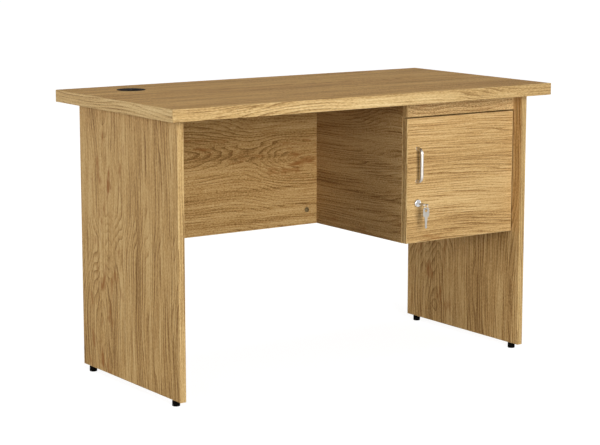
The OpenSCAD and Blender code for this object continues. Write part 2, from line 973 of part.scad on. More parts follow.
// Goose-neck arm seen from above: from the pin to the left, back out of the cup, to the
// right behind the door's swinging edge, and back along the mounting plate
module arm_profile() {
    r = arm_bend + arm_t;
    left = arm_left;
    tail = block_face;
    turn = arm_turn_y;
    translate([pin_x, pin_y])
        circle(boss_r);
    translate([left + r, pin_y - arm_t / 2])
        square([pin_x - left - r, arm_t]);
    translate([left + r, pin_y - arm_t / 2 + r])
        arm_corner(-1, -1);
    translate([left, pin_y - arm_t / 2 + r])
        square([arm_t, turn - pin_y + arm_t / 2 + arm_t - 2 * r]);
    translate([left + r, turn + arm_t - r])
        arm_corner(-1, 1);
    translate([left + r, turn])
        square([tail - left - 2 * r, arm_t]);
    translate([tail - r, turn + r])
        arm_corner(1, -1);
    translate([tail - arm_t, turn + r])
        square([arm_t, plate_y0 + plate_len - 3 - turn - r]);
}

module hinge_arms() {
    color(steel)
        for (z = hinge_levels)
            difference() {
                translate([0, 0, z - arm_w / 2])
                    linear_extrude(arm_w)
                        arm_profile();
                translate([pin_x, pin_y, z - arm_w])
                    cylinder(h = 2 * arm_w, d = hinge_pin + 2 * run);
                for (y = arm_screw_rows)
                    translate([0, y, z])
                        rod_x(block_face - 2 * arm_t, block_face + over,
                              handle_screw + 2 * fit);
            }
}

module hinge_plate_places() {
    for (z = hinge_levels)
        translate([leg_in, plate_mid, z])
            children();
}

// Wood screws of a plate, in the frame of the plate's middle on the leg's face
module plate_screw_holes() {
    for (s = [-1, 1])
        translate([0, 0, s * wing_cc / 2])
            rod_x(-over, wood_screw_len - plate_t + dowel_room, wood_screw + 2 * fit);
}

module hinge_plates() {
    wing_w = 13;
    color(steel)
        hinge_plate_places()
            difference() {
                union() {
                    translate([-plate_t, -plate_len / 2, -arm_w / 2 - 1])
                        cube([plate_t, plate_len, arm_w + 2]);
                    translate([-plate_t - block_t, -plate_len / 2 + 2, -arm_w / 2])
                        cube([block_t, plate_len - 4, arm_w]);
                    translate([-plate_t, -wing_w / 2, -wing_cc / 2])
                        cube([plate_t, wing_w, wing_cc]);
                    for (s = [-1, 1])
                        translate([0, 0, s * wing_cc / 2])
                            rod_x(-plate_t, 0, wing_w);
                }
                for (s = [-1, 1])
                    translate([0, 0, s * wing_cc / 2])
                        rod_x(-plate_t - over, over, wood_screw + 2 * fit);
                for (y = arm_screw_rows)
                    translate([0, y - plate_mid, 0])
                        rod_x(-plate_t - block_t - over, over, handle_screw + 2 * fit);
            }
}

module hinge_plate_screws() {
    color(zinc)
        hinge_plate_places()
            for (s = [-1, 1])
                translate([0, 0, s * wing_cc / 2])
                    difference() {
                        union() {
                            rod_x(-plate_t, wood_screw_len - plate_t, wood_screw);
                            rod_x(-plate_t - ear_head_t, -plate_t, 2 * wood_screw);
                        }
                        cross_recess_left(plate_t + ear_head_t);
                    }
}

module hinge_arm_screws() {
    color(zinc)
        for (z = hinge_levels, y = arm_screw_rows)
            translate([block_face - arm_t, y, z])
                difference() {
                    union() {
                        rod_x(0, arm_t + block_t + plate_t, handle_screw);
                        rod_x(-pan_head_t, 0, 2 * handle_screw);
                    }
                    cross_recess_left(pan_head_t);
                }
}

// Lock housing: a threaded barrel with two flats, and a domed bezel on the door's face
module lock_housing() {
    color(steel)
        translate([lock_x, 0, lock_z])
            difference() {
                union() {
                    intersection() {
                        rod_y(door_front, housing_end, lock_dia);
                        translate([-lock_flats / 2, door_front, -lock_dia])
                            cube([lock_flats, housing_end - door_front, 2 * lock_dia]);
                    }
                    bezel();
                }
                rod_y(plug_face - over, housing_end + over, plug_dia + 2 * run);
            }
}

// Bezel turned round the lock's axis: a straight rim, then a round shoulder that falls
// to the plug's face
module bezel() {
    r = bezel_dia / 2;
    rim = 1.5;
    face_r = plug_dia / 2 + 1.5;
    dome = bezel_out - rim;
    translate([0, door_front, 0])
        rotate([90, 0, 0])
            rotate_extrude()
                union() {
                    square([r, rim]);
                    intersection() {
                        square([r, bezel_out]);
                        union() {
                            square([face_r, bezel_out]);
                            translate([face_r, rim])
                                scale([(r - face_r) / dome, 1])
                                    circle(dome);
                        }
                    }
                }
}

module lock_nut() {
    color(zinc)
        translate([lock_x, 0, lock_z])
            difference() {
                translate([0, door_back, 0])
                    rotate([-90, 30, 0])
                        cylinder(h = nut_t, d = nut_af / cos(30), $fn = 6);
                rod_y(door_back - over, door_back + nut_t + over, lock_dia + 2 * fit);
            }
}

// Plug with its keyway, and a square end that drives the cam
module lock_plug() {
    color(steel)
        translate([lock_x, 0, lock_z])
            difference() {
                union() {
                    rod_y(plug_face, cam_y, plug_dia);
                    translate([-cam_square / 2, cam_y, -cam_square / 2])
                        cube([cam_square, cam_t, cam_square]);
                }
                translate([-blade_w / 2 - key_gap, plug_face - over, -key_t / 2 - key_gap])
                    cube([blade_w + 2 * key_gap, keyway_deep + over, key_t + 2 * key_gap]);
                rod_y(cam_y - cam_screw_deep - dowel_room, cam_y + cam_t + over,
                      cam_screw + 2 * fit);
            }
}

// Flat cam: hub round the square, and a tongue that hangs down when unlocked
module lock_cam() {
    half = cam_square / 2 + fit;
    color(zinc)
        translate([lock_x, 0, lock_z])
            difference() {
                union() {
                    rod_y(cam_y, cam_y + cam_t, 2 * cam_hub);
                    translate([-cam_w / 2, cam_y, cam_w / 2 - cam_reach])
                        cube([cam_w, cam_t, cam_reach - cam_w / 2]);
                    translate([0, 0, cam_w / 2 - cam_reach])
                        rod_y(cam_y, cam_y + cam_t, cam_w);
                }
                translate([-half, cam_y - over, -half])
                    cube([2 * half, cam_t + 2 * over, 2 * half]);
            }
}

module lock_cam_screw() {
    head = cam_y + cam_t;
    color(zinc)
        translate([lock_x, 0, lock_z])
            difference() {
                union() {
                    rod_y(cam_y - cam_screw_deep, head, cam_screw);
                    rod_y(head, head + pan_head_t, 3 * cam_screw);
                }
                cross_recess(head + pan_head_t);
            }
}

// Bow of a key: a plate with round corners and a hole near its end
module key_bow() {
    difference() {
        union() {
            translate([-bow_w / 2 + bow_r, 0])
                square([bow_w - 2 * bow_r, bow_len]);
            translate([-bow_w / 2, bow_r])
                square([bow_w, bow_len - 2 * bow_r]);
            for (s = [-1, 1], y = [bow_r, bow_len - bow_r])
                translate([s * (bow_w / 2 - bow_r), y])
                    circle(bow_r);
        }
        translate([0, bow_bar + bow_hole / 2])
            circle(d = bow_hole);
    }
}

// Blade of a key from y = 0: a plain edge, a sloped tip and a row of cuts
module key_blade() {
    half = blade_w / 2;
    teeth_y = 2.5;
    tooth = (blade_len - 6) / len(KEY_CUTS);
    last = len(KEY_CUTS) - 1;
    polygon([
        [-half, -over],
        [-half, blade_len - 1.5],
        [-half + 2, blade_len],
        [0.2 * blade_w, blade_len],
        [half - 0.4, blade_len - 2],
        for (k = [last : -1 : 0]) each [
            [half - 0.2, teeth_y + (k + 0.9) * tooth],
            [half - KEY_CUTS[k], teeth_y + (k + 0.6) * tooth],
            [half - KEY_CUTS[k], teeth_y + (k + 0.3) * tooth]
        ],
        [half, teeth_y - 1],
        [half, -over]
    ]);
}

// Key cut from flat stock in the XY plane: the bow's end at y = 0, the tip at +Y
module key_blank() {
    blade_y = bow_len + neck_len;
    translate([0, 0, -key_t / 2]) {
        linear_extrude(key_t)
            key_bow();
        translate([-neck_w / 2, bow_len - over, 0])
            cube([neck_w, over + neck_len - gap, key_t]);
        translate([0, blade_y, 0])
            linear_extrude(key_t)
                key_blade();
    }
}

module door_key() {
    color(steel)
        translate([lock_x, key_end, lock_z])
            key_blank();
}

module key_ring() {
    color(steel)
        translate([lock_x, bar_y, ring_z])
            rotate([0, 90, 0])
                rotate_extrude()
                    translate([ring_mid_r, 0])
                        circle(d = ring_wire);
}

module spare_key() {
    color(steel)
        translate([lock_x, bar_y, spare_top])
            rotate([-90, 0, 0])
                key_blank();
}

// Cam of a fitting: a disc with a pocket for the bolt's head and a cross on its face
module cam_fittings() {
    arm = 5;
    color(zinc)
        for (j = CAM_JOINTS)
            translate(j[2])
                rotate(j[3])
                    translate([cam_back, 0, board_t / 2 - cam_h])
                        difference() {
                            cylinder(h = cam_h - 0.4, d = cam_dia);
                            translate([-cam_dia, 0, cam_h - board_t / 2])
                                rod_x(-1, cam_dia + 3, slot_w);
                            for (a = [0, 90])
                                rotate([0, 0, a])
                                    translate([-arm / 2, -0.6, cam_h - 2.2])
                                        cube([arm, 1.2, 3]);
                        }
}

// Bolt of a cam fitting: screwed into the first board, its head inside the cam
module cam_bolts() {
    color(zinc)
        for (j = CAM_JOINTS)
            translate(j[2])
                rotate(j[3]) {
                    rod_x(-bolt_deep, 0, bolt_dia);
                    rod_x(0, cam_back - bolt_head, bolt_shank - 1.5);
                    rod_x(0, 6, bolt_shank);
                    rod_x(cam_back - bolt_head, cam_back, bolt_shank);
                }
}

module dowels() {
    color(beech)
        for (j = DOWEL_JOINTS)
            translate(j[2])
                rotate(j[3])
                    rod_x(-dowel_face, dowel_end, dowel_dia);
}

// Liner of the cable outlet: a flange let into the desktop, a tube through it and a
// ledge that carries the cap
module outlet_liner() {
    r = outlet_hole / 2;
    bore = r - liner_wall;
    ledge_z = -2;
    color(black_plastic)
        translate([outlet_cx, outlet_cy, outlet_z])
            rotate_extrude()
                union() {
                    translate([bore, 0])
                        square([outlet_flange / 2 - bore - 1.2, flange_t]);
                    translate([bore, 0])
                        square([outlet_flange / 2 - bore, flange_t - 1.2]);
                    translate([outlet_flange / 2 - 1.2, flange_t - 1.2])
                        circle(1.2);
                    translate([bore, -liner_len])
                        square([liner_wall, liner_len]);
                    translate([bore - ledge_w, ledge_z])
                        square([ledge_w + 0.1, 2]);
                }
}

// Cap of the cable outlet: a disc with a notch at its rim and a short skirt
module outlet_cap() {
    color(black_plastic)
        translate([outlet_cx, outlet_cy, outlet_z])
            difference() {
                union() {
                    translate([0, 0, flange_t - cap_t])
                        cylinder(h = cap_t, r = cap_r);
                    translate([0, 0, flange_t - cap_t - skirt_len])
                        difference() {
                            cylinder(h = skirt_len, r = skirt_r);
                            translate([0, 0, -over])
                                cylinder(h = skirt_len + over, r = skirt_r - skirt_wall);
                        }
                }
                translate([0, notch_d - cap_r - notch_w / 2, -skirt_len - over]) {
                    cylinder(h = 2 * skirt_len, d = notch_w);
                    translate([-notch_w / 2, -2 * notch_w, 0])
                        cube([notch_w, 2 * notch_w, 2 * skirt_len]);
                }
            }
}

module foot_inserts() {
    color(zinc)
        for (p = FEET)
            translate([p[0], p[1], foot_h])
                difference() {
                    union() {
                        cylinder(h = insert_len, d = insert_dia);
                        cylinder(h = insert_flange_t, d = insert_flange);
                    }
                    translate([0, 0, -over])
                        cylinder(h = insert_len + 2 * over, d = stud_dia + 2 * run);
                }
}

// Moulded foot: a round base with a chamfered rim and grip grooves
module foot_pad(place) {
    h = foot_h - foot_gap;
    r = foot_dia / 2;
    c = pad_chamfer;
    color(black_plastic)
        translate([place[0], place[1], 0])
            difference() {
                union() {
                    cylinder(h = c, r1 = r - c, r2 = r);
                    translate([0, 0, c])
                        cylinder(h = h - 2 * c, r = r);
                    translate([0, 0, h - c])
                        cylinder(h = c, r1 = r, r2 = r - c);
                }
                for (a = [0 : grip_step : 360 - grip_step])
                    rotate([0, 0, a])
                        translate([r + grip_r / 3, 0, grip_z])
                            cylinder(h = h, r = grip_r);
                translate([0, 0, stud_z])
                    cylinder(h = h, d = stud_dia + 2 * fit);
            }
}

module foot_stud(place) {
    color(zinc)
        translate([place[0], place[1], stud_z])
            cylinder(h = foot_h + insert_len - stud_z - foot_gap, d = stud_dia);
}

desktop_panel();
desktop_edge_bands();
left_leg_panel();
left_leg_edge_bands();
right_leg_panel();
right_leg_edge_bands();
modesty_panel();
modesty_edge_band();
cupboard_side_panel();
cupboard_side_edge_bands();
cupboard_floor_panel();
cupboard_floor_edge_band();
cupboard_back_panel();
cupboard_back_edge_band();
cupboard_top_rail();
fascia_rail();
fascia_edge_bands();
shelf_panel();
shelf_edge_band();
shelf_pins();
door_panel();
door_edge_bands();
door_handle();
handle_screws();
bumper_pads();
hinge_cups();
hinge_pins();
hinge_cup_screws();
hinge_arms();
hinge_plates();
hinge_plate_screws();
hinge_arm_screws();
lock_housing();
lock_nut();
lock_plug();
lock_cam();
lock_cam_screw();
door_key();
key_ring();
spare_key();
cam_fittings();
cam_bolts();
dowels();
outlet_liner();
outlet_cap();
foot_inserts();
foot_pad(FEET[0]);  // foot_pad_left_front
foot_pad(FEET[1]);  // foot_pad_right_front
foot_pad(FEET[2]);  // foot_pad_left_back
foot_pad(FEET[3]);  // foot_pad_right_back
foot_stud(FEET[0]);  // foot_stud_left_front
foot_stud(FEET[1]);  // foot_stud_right_front
foot_stud(FEET[2]);  // foot_stud_left_back
foot_stud(FEET[3]);  // foot_stud_right_back
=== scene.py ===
"""Office desk in oak-print laminate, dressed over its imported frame.

The boards keep their solids and get printed laminate. Edge bands, metalwork, screws,
dowels and feet are made here from the frame's solids, with their arrises eased.
"""

import json
import math

import bmesh
import bpy
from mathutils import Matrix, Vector


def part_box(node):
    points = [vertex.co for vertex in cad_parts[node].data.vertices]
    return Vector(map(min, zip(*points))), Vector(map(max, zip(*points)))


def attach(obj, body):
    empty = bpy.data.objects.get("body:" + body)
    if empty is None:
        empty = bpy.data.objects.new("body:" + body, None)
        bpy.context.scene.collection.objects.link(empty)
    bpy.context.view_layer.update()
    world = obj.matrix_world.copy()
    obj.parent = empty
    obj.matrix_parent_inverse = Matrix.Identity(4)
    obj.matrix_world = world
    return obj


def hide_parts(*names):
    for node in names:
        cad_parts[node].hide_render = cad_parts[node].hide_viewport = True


bl_info = {
    "name": "Office Desk Finish",
    "version": (1, 0, 0),
    "blender": (4, 5, 0),
    "location": "3D View > Sidebar > Desk",
    "description": "Laminate, edge bands, hardware and stage for an office desk",
    "category": "Object",
}

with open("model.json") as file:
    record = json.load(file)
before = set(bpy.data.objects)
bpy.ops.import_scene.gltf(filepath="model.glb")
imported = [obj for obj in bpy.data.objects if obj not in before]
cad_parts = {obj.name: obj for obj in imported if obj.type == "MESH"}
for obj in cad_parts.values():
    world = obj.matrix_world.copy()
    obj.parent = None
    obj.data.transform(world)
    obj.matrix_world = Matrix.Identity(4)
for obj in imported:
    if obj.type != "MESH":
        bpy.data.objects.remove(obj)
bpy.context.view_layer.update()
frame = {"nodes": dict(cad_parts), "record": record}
NODES = frame["nodes"]
MM = 0.001
AXES = (Vector((1, 0, 0)), Vector((0, 1, 0)), Vector((0, 0, 1)))

# Body each node belongs to, from the record the frame was packed with
BODY_OF = {
    node: body
    for body, members in frame["record"]["behaviour"]["bodies"].items()
    for node in members
}


def srgb(hex_text):
    """An sRGB hex colour as linear RGB with alpha 1."""
    channels = [int(hex_text[k : k + 2], 16) / 255 for k in (1, 3, 5)]
    linear = [c / 12.92 if c <= 0.04045 else ((c + 0.055) / 1.055) ** 2.4
              for c in channels]
    return (*linear, 1.0)


def add(tree, kind, *inputs, **settings):
    """Adds a node with its settings. Its inputs come in order, or by name in one
    dictionary; each is a constant, a socket to link, or a node to link by its first
    output."""
    made = tree.nodes.new(kind)
    for name, value in settings.items():
        setattr(made, name, value)
    by_name = inputs and isinstance(inputs[0], dict)
    for key, value in (inputs[0] if by_name else dict(enumerate(inputs))).items():
        if isinstance(value, bpy.types.Node):
            value = value.outputs[0]
        if isinstance(value, bpy.types.NodeSocket):
            tree.links.new(value, made.inputs[key])
        else:
            made.inputs[key].default_value = value
    return made


# Sizes and colours a user would change


class DeskBoardSettings(bpy.types.PropertyGroup):
    oak_light: bpy.props.FloatVectorProperty(
        name="Oak light", description="Lightest tone of the printed oak",
        subtype="COLOR", size=4, min=0, max=1, default=srgb("#E0C18C"))
    oak_middle: bpy.props.FloatVectorProperty(
        name="Oak middle", description="Ground tone of the printed oak",
        subtype="COLOR", size=4, min=0, max=1, default=srgb("#C39D66"))
    oak_dark: bpy.props.FloatVectorProperty(
        name="Oak dark", description="Tone of the growth lines in the print",
        subtype="COLOR", size=4, min=0, max=1, default=srgb("#87643A"))
    oak_red: bpy.props.FloatVectorProperty(
        name="Oak red", description="Tone of the warm patches near the print's knots",
        subtype="COLOR", size=4, min=0, max=1, default=srgb("#9A6838"))
    ring_pitch: bpy.props.FloatProperty(
        name="Growth line pitch", description="Distance between growth lines, mm",
        default=8, min=3, max=20)
    heart_gap: bpy.props.FloatProperty(
        name="Flame spacing", description="Distance between rows of flames, mm",
        default=460, min=100, max=1200)
    fibre_width: bpy.props.FloatProperty(
        name="Fibre width", description="Width of the fine streaks as drawn, mm",
        default=1.9, min=0.5, max=6)
    gloss: bpy.props.FloatProperty(
        name="Roughness", description="Roughness of the melamine face",
        subtype="FACTOR", default=0.66, min=0.1, max=1)


class DeskHardwareSettings(bpy.types.PropertyGroup):
    eased: bpy.props.FloatProperty(
        name="Eased edge",
        description="Rounding of cut edges, mm; pieces take their own multiples of it",
        default=0.25, min=0.05, max=1)
    lathe_steps: bpy.props.IntProperty(
        name="Turning steps", description="Faces round a turned piece",
        default=40, min=12, max=96)
    recess: bpy.props.FloatProperty(
        name="Cross recess", description="Width of a screw's cross across its head, mm",
        default=4.2, min=2, max=6)
    flutes: bpy.props.IntProperty(
        name="Dowel flutes", description="Grooves round a wooden dowel",
        default=18, min=8, max=32)
    thread_pitch: bpy.props.FloatProperty(
        name="Thread pitch", description="Pitch of the feet's threaded studs, mm",
        default=1.25, min=0.5, max=2.5)


class DeskStageSettings(bpy.types.PropertyGroup):
    ambient: bpy.props.FloatProperty(
        name="Ambient", description="Even light of the white room",
        default=0.10, min=0, max=2)
    front_light: bpy.props.FloatProperty(
        name="Front softbox", description="Power of the softbox in front",
        subtype="POWER", unit="POWER", default=228, min=0)
    side_light: bpy.props.FloatProperty(
        name="Side softbox", description="Power of the softbox on the left",
        subtype="POWER", unit="POWER", default=90, min=0)
    top_light: bpy.props.FloatProperty(
        name="Top softbox", description="Power of the softbox overhead",
        subtype="POWER", unit="POWER", default=25, min=0)
    rear_light: bpy.props.FloatProperty(
        name="Rear softboxes",
        description="Power of each softbox behind and on the right",
        subtype="POWER", unit="POWER", default=80, min=0)
    focal_length: bpy.props.FloatProperty(
        name="Focal length", description="Focal length of the camera",
        subtype="DISTANCE_CAMERA", default=111.54, min=20, max=300)


# Materials


def empty_tree(owner):
    """The node tree of a material or a world, with nothing in it."""
    owner.use_nodes = True
    owner.node_tree.nodes.clear()
    return owner.node_tree


OAK_TONES = ("Light", "Middle", "Dark", "Red")

# The patterns that draw the print: length and width of a cell in mm, along and across
# the grain, how many finer layers lie on it, and how strong those are. Fibres have the
# width of the settings. Real pores are 0.3 mm wide, and are drawn 2 mm wide to show.
OAK_PATTERNS = {
    "heart aside": (900, 4000, 1.0, 0.5),
    "heart depth": (360, 4000, 1.5, 0.5),
    "ripple": (300, 60, 2.0, 0.5),
    "years": (1200, 26, 1.0, 0.5),
    "pores": (14, 2.0, 1.0, 0.6),
    "fading": (260, 26, 2.0, 0.5),
    "fibres": (150, None, 2.0, 0.7),
    "flecks": (6, 1.7, 1.5, 0.5),
    "bands": (600, 16, 2.5, 0.6),
    "zones": (1100, 70, 2.0, 0.5),
    "patches": (80, 18, 2.5, 0.6),
}
# Patterns that are cut to a range: from and to, and what these two become
OAK_RANGES = {
    "pores": (-0.08, 0.14, 0.0, 1.0),
    "fading": (-0.16, 0.12, 0.15, 1.1),
    "patches": (0.07, 0.2, 0.0, 0.75),
}
# The heart line, in metres: its depth under the face, and how far it strays
HEART_DEPTH, HEART_DEPTH_STRAY, HEART_ASIDE_STRAY = 0.012, 0.17, 0.2
# Warm patches thin out between these two distances from it, to this share
NEAR_HEART = (0.02, 0.09, 1.0, 0.15)
# How far growth lines shift, in pitches: they ripple, and wet and dry years crowd and
# spread them across the board
RING_SHIFTS = {"ripple": 2.0, "years": 3.2}
LINE_SHARPNESS = 2.6
# Tone of the bare ground, from dark at 0 to light at 1, and what patterns add to it
GROUND_TONE = 0.63
TONE_SHARES = {"bands": 0.9, "zones": 0.6, "line": -0.64, "pores": -0.1}


def printed_oak_group(boards):
    """Node group: the oak print as colour, height and gloss, with the grain along X."""
    tree = bpy.data.node_groups.new("printed oak", "ShaderNodeTree")
    for direction, kind, names in (
            ("INPUT", "Vector", ("Place",)),
            ("INPUT", "Float", ("Figure", "Long fibres")),
            ("INPUT", "Color", OAK_TONES),
            ("OUTPUT", "Color", ("Color",)),
            ("OUTPUT", "Float", ("Height", "Roughness"))):
        for name in names:
            tree.interface.new_socket(
                name, in_out=direction, socket_type=f"NodeSocket{kind}")
    given = add(tree, "NodeGroupInput").outputs
    figure, long_fibres = given["Figure"], given["Long fibres"]

    # each pattern is a noise about 0
    drawn = {}
    for name, (along, wide, layers, strength) in OAK_PATTERNS.items():
        wide = wide or boards.fibre_width
        cells = add(tree, "ShaderNodeVectorMath", given["Place"],
                    (1000 / along, 1000 / wide, 1000 / wide), operation="MULTIPLY")
        noise = add(tree, "ShaderNodeTexNoise", {
            "Vector": cells, "Scale": 1.0, "Detail": layers, "Roughness": strength})
        drawn[name] = add(tree, "ShaderNodeMath", noise, 0.5, operation="SUBTRACT")
    for name, levels in OAK_RANGES.items():
        drawn[name] = add(tree, "ShaderNodeMapRange", drawn[name], *levels)

    # a flat-sawn log: growth rings round a heart line a little under the face, so they
    # run straight far from it and close into flames over it
    place = add(tree, "ShaderNodeSeparateXYZ", given["Place"]).outputs
    across = add(tree, "ShaderNodeMath", place["Y"], place["Z"], operation="ADD")
    across = add(tree, "ShaderNodeMath", drawn["heart aside"], HEART_ASIDE_STRAY,
                 across, operation="MULTIPLY_ADD")
    aside = add(tree, "ShaderNodeMath", across, boards.heart_gap * MM / 2,
                operation="PINGPONG")
    stray = add(tree, "ShaderNodeMath", figure, HEART_DEPTH_STRAY, operation="MULTIPLY")
    depth = add(tree, "ShaderNodeMath", drawn["heart depth"], stray, HEART_DEPTH,
                operation="MULTIPLY_ADD")
    to_heart = add(tree, "ShaderNodeCombineXYZ", aside, depth)
    radius = add(tree, "ShaderNodeVectorMath", to_heart, operation="LENGTH")
    rings = add(tree, "ShaderNodeMath", radius.outputs["Value"], boards.ring_pitch * MM,
                operation="DIVIDE")
    for name, shift in RING_SHIFTS.items():
        rings = add(tree, "ShaderNodeMath", drawn[name], shift, rings,
                    operation="MULTIPLY_ADD")

    # a growth line darkens to its edge, fades here and there, and is stronger in pores
    saw = add(tree, "ShaderNodeMath", rings, operation="FRACT")
    line = add(tree, "ShaderNodeMath", saw, LINE_SHARPNESS, operation="POWER")
    porous = add(tree, "ShaderNodeMath", drawn["pores"], 0.3, 0.85,
                 operation="MULTIPLY_ADD")
    for factor in (drawn["fading"], porous):
        line = add(tree, "ShaderNodeMath", line, factor, operation="MULTIPLY")
    drawn["line"] = line

    # flecks come with the figure, and stand back where the long fibres are strong
    fibre_share = add(tree, "ShaderNodeMath", long_fibres, 1.1, operation="ADD")
    short = add(tree, "ShaderNodeMath", long_fibres, -0.8, 1.0,
                operation="MULTIPLY_ADD")
    lively = add(tree, "ShaderNodeMath", figure, 0.8, 0.7, operation="MULTIPLY_ADD")
    fleck_share = add(tree, "ShaderNodeMath", short, lively, operation="MULTIPLY")
    tone = GROUND_TONE
    shares = {"fibres": fibre_share, "flecks": fleck_share, **TONE_SHARES}
    for name, share in shares.items():
        tone = add(tree, "ShaderNodeMath", drawn[name], share, tone,
                   operation="MULTIPLY_ADD")

    # dark to middle in the lower half of the tone, to light in the upper, and warm
    # patches over both
    near_heart = add(tree, "ShaderNodeMapRange", aside, *NEAR_HEART)
    warm = add(tree, "ShaderNodeMath", drawn["patches"], near_heart,
               operation="MULTIPLY")
    colour = given["Dark"]
    for share, second in (
            (add(tree, "ShaderNodeMapRange", tone, 0.0, 0.5), "Middle"),
            (add(tree, "ShaderNodeMapRange", tone, 0.5, 1.0), "Light"),
            (add(tree, "ShaderNodeMath", warm, figure, operation="MULTIPLY"), "Red")):
        colour = add(tree, "ShaderNodeMix", {
            "Factor": share, 6: colour, 7: given[second]}, data_type="RGBA").outputs[2]

    # pores are pressed in, deepest along the growth lines
    pressed = add(tree, "ShaderNodeMath", line, 0.2, operation="ADD")
    pressed = add(tree, "ShaderNodeMath", drawn["pores"], pressed, operation="MULTIPLY")
    add(tree, "NodeGroupOutput", {
        "Color": colour,
        "Height": add(tree, "ShaderNodeMath", 1.0, pressed, operation="SUBTRACT"),
        "Roughness": add(tree, "ShaderNodeMath", drawn["fibres"], 0.15, boards.gloss,
                         operation="MULTIPLY_ADD")})
    return tree


# Turn of the pattern that brings each grain direction to X
GRAIN = {"x": (0, 0, 0), "y": (0, 0, -math.pi / 2), "z": (0, math.pi / 2, 0)}


def printed_laminate(name, grain, shift, figure=1.0, tone_and_painted_light=(1.0, 1.0, 1.0), wide=1.0,
                     long_fibres=0.0):
    """Melamine-faced chipboard with an oak print, pressed on a lightly embossed plate:
    an even satin sheen, with the drawing of the wood but none of its depth. The drawing
    can be made wider across the grain than it is along it."""
    boards = bpy.context.scene.desk_boards
    made = bpy.data.materials.new(name)
    tree = empty_tree(made)
    if grain == "attribute":
        stated = add(tree, "ShaderNodeAttribute", attribute_name="grain")
        source, grain = stated.outputs["Vector"], "x"
    else:
        source = add(tree, "ShaderNodeTexCoord").outputs["Object"]
    placed = add(tree, "ShaderNodeMapping", {
        "Vector": source, "Location": shift, "Rotation": GRAIN[grain],
        "Scale": [1.0 if axis == grain else 1.0 / wide for axis in "xyz"]})
    # the tone factor multiplies the print's colours: on some boards it paints in light
    # and shade, making a sheet lighter or darker than the same print on the others; on
    # the rest it only tints the tone
    tones = {}
    for tone in OAK_TONES:
        colour = getattr(boards, f"oak_{tone.lower()}")
        tones[tone] = (*(min(1.0, k * c) for k, c in zip(tone_and_painted_light, colour)), 1.0)
    group = bpy.data.node_groups.get("printed oak") or printed_oak_group(boards)
    oak = add(tree, "ShaderNodeGroup", {
        "Place": placed, "Figure": figure, "Long fibres": long_fibres, **tones},
        node_tree=group).outputs
    bump = add(tree, "ShaderNodeBump", {
        "Height": oak["Height"], "Strength": 0.25, "Distance": 0.08 * MM})
    face = add(tree, "ShaderNodeBsdfPrincipled", {
        "Base Color": oak["Color"], "Roughness": oak["Roughness"], "Normal": bump,
        "IOR": 1.5, "Specular IOR Level": 0.06})
    add(tree, "ShaderNodeOutputMaterial", {"Surface": face})
    return made


# Hardware finishes: grain is the size of the fine texture in mm, stretch how much
# longer it is each way, spread how far the colour varies, bump the texture's strength
FINISHES = {
    # brushed nickel plate on steel rod: soft bright lines along the bar
    "satin_nickel_rod": dict(hex_text="#C0BBB3", roughness=0.34, grain=0.5, spread=0.05,
                             bump=0.05, stretch=(1, 1, 30)),
    # polished chrome on a die-cast body: mirror bright, barely any texture
    "polished_chrome": dict(hex_text="#D2D3D5", roughness=0.14, grain=2.0, spread=0.02,
                            bump=0.01),
    # nickel-plated pressed steel: even soft shine with faint rolling marks
    "nickel_plated_steel": dict(hex_text="#C9C8C5", roughness=0.28, grain=1.0,
                                spread=0.05, bump=0.04, stretch=(1, 6, 1)),
    # nickel-silver key blank: soft grey, slightly brushed flat stock
    "stamped_key_metal": dict(hex_text="#B2AEA6", roughness=0.34, grain=0.6,
                              spread=0.05, bump=0.05, stretch=(1, 8, 1)),
    # zinc plate, blue passivated: duller and cooler than nickel, with a mottle
    "zinc_plated_steel": dict(hex_text="#B4B8BF", roughness=0.38, grain=1.2,
                              spread=0.09, bump=0.05),
    # zinc die casting, yellow passivated: matt, finely pitted, a warm straw cast
    "die_cast_zinc": dict(hex_text="#8E7C58", roughness=0.5, grain=0.7, spread=0.1,
                          bump=0.12),
    # black polypropylene, moulded in a spark-eroded tool: matt with a fine pebble
    "moulded_black_plastic": dict(hex_text="#0E0D0C", roughness=0.62, grain=0.8,
                                  spread=0.12, bump=0.2, metallic=0.0, ior=1.49,
                                  specular=0.01),
    # compressed beech: pale, with short fine flecks along the dowel
    "turned_beech": dict(hex_text="#CDA679", roughness=0.62, grain=0.6, spread=0.1,
                         bump=0.12, stretch=(4, 1, 1), metallic=0.0),
    # clear polyurethane bumper: milky, slightly tacky gloss
    "clear_polyurethane": dict(hex_text="#D9D8D0", roughness=0.3, grain=1.5,
                               spread=0.03, bump=0.02, metallic=0.0, coat=0.2),
}


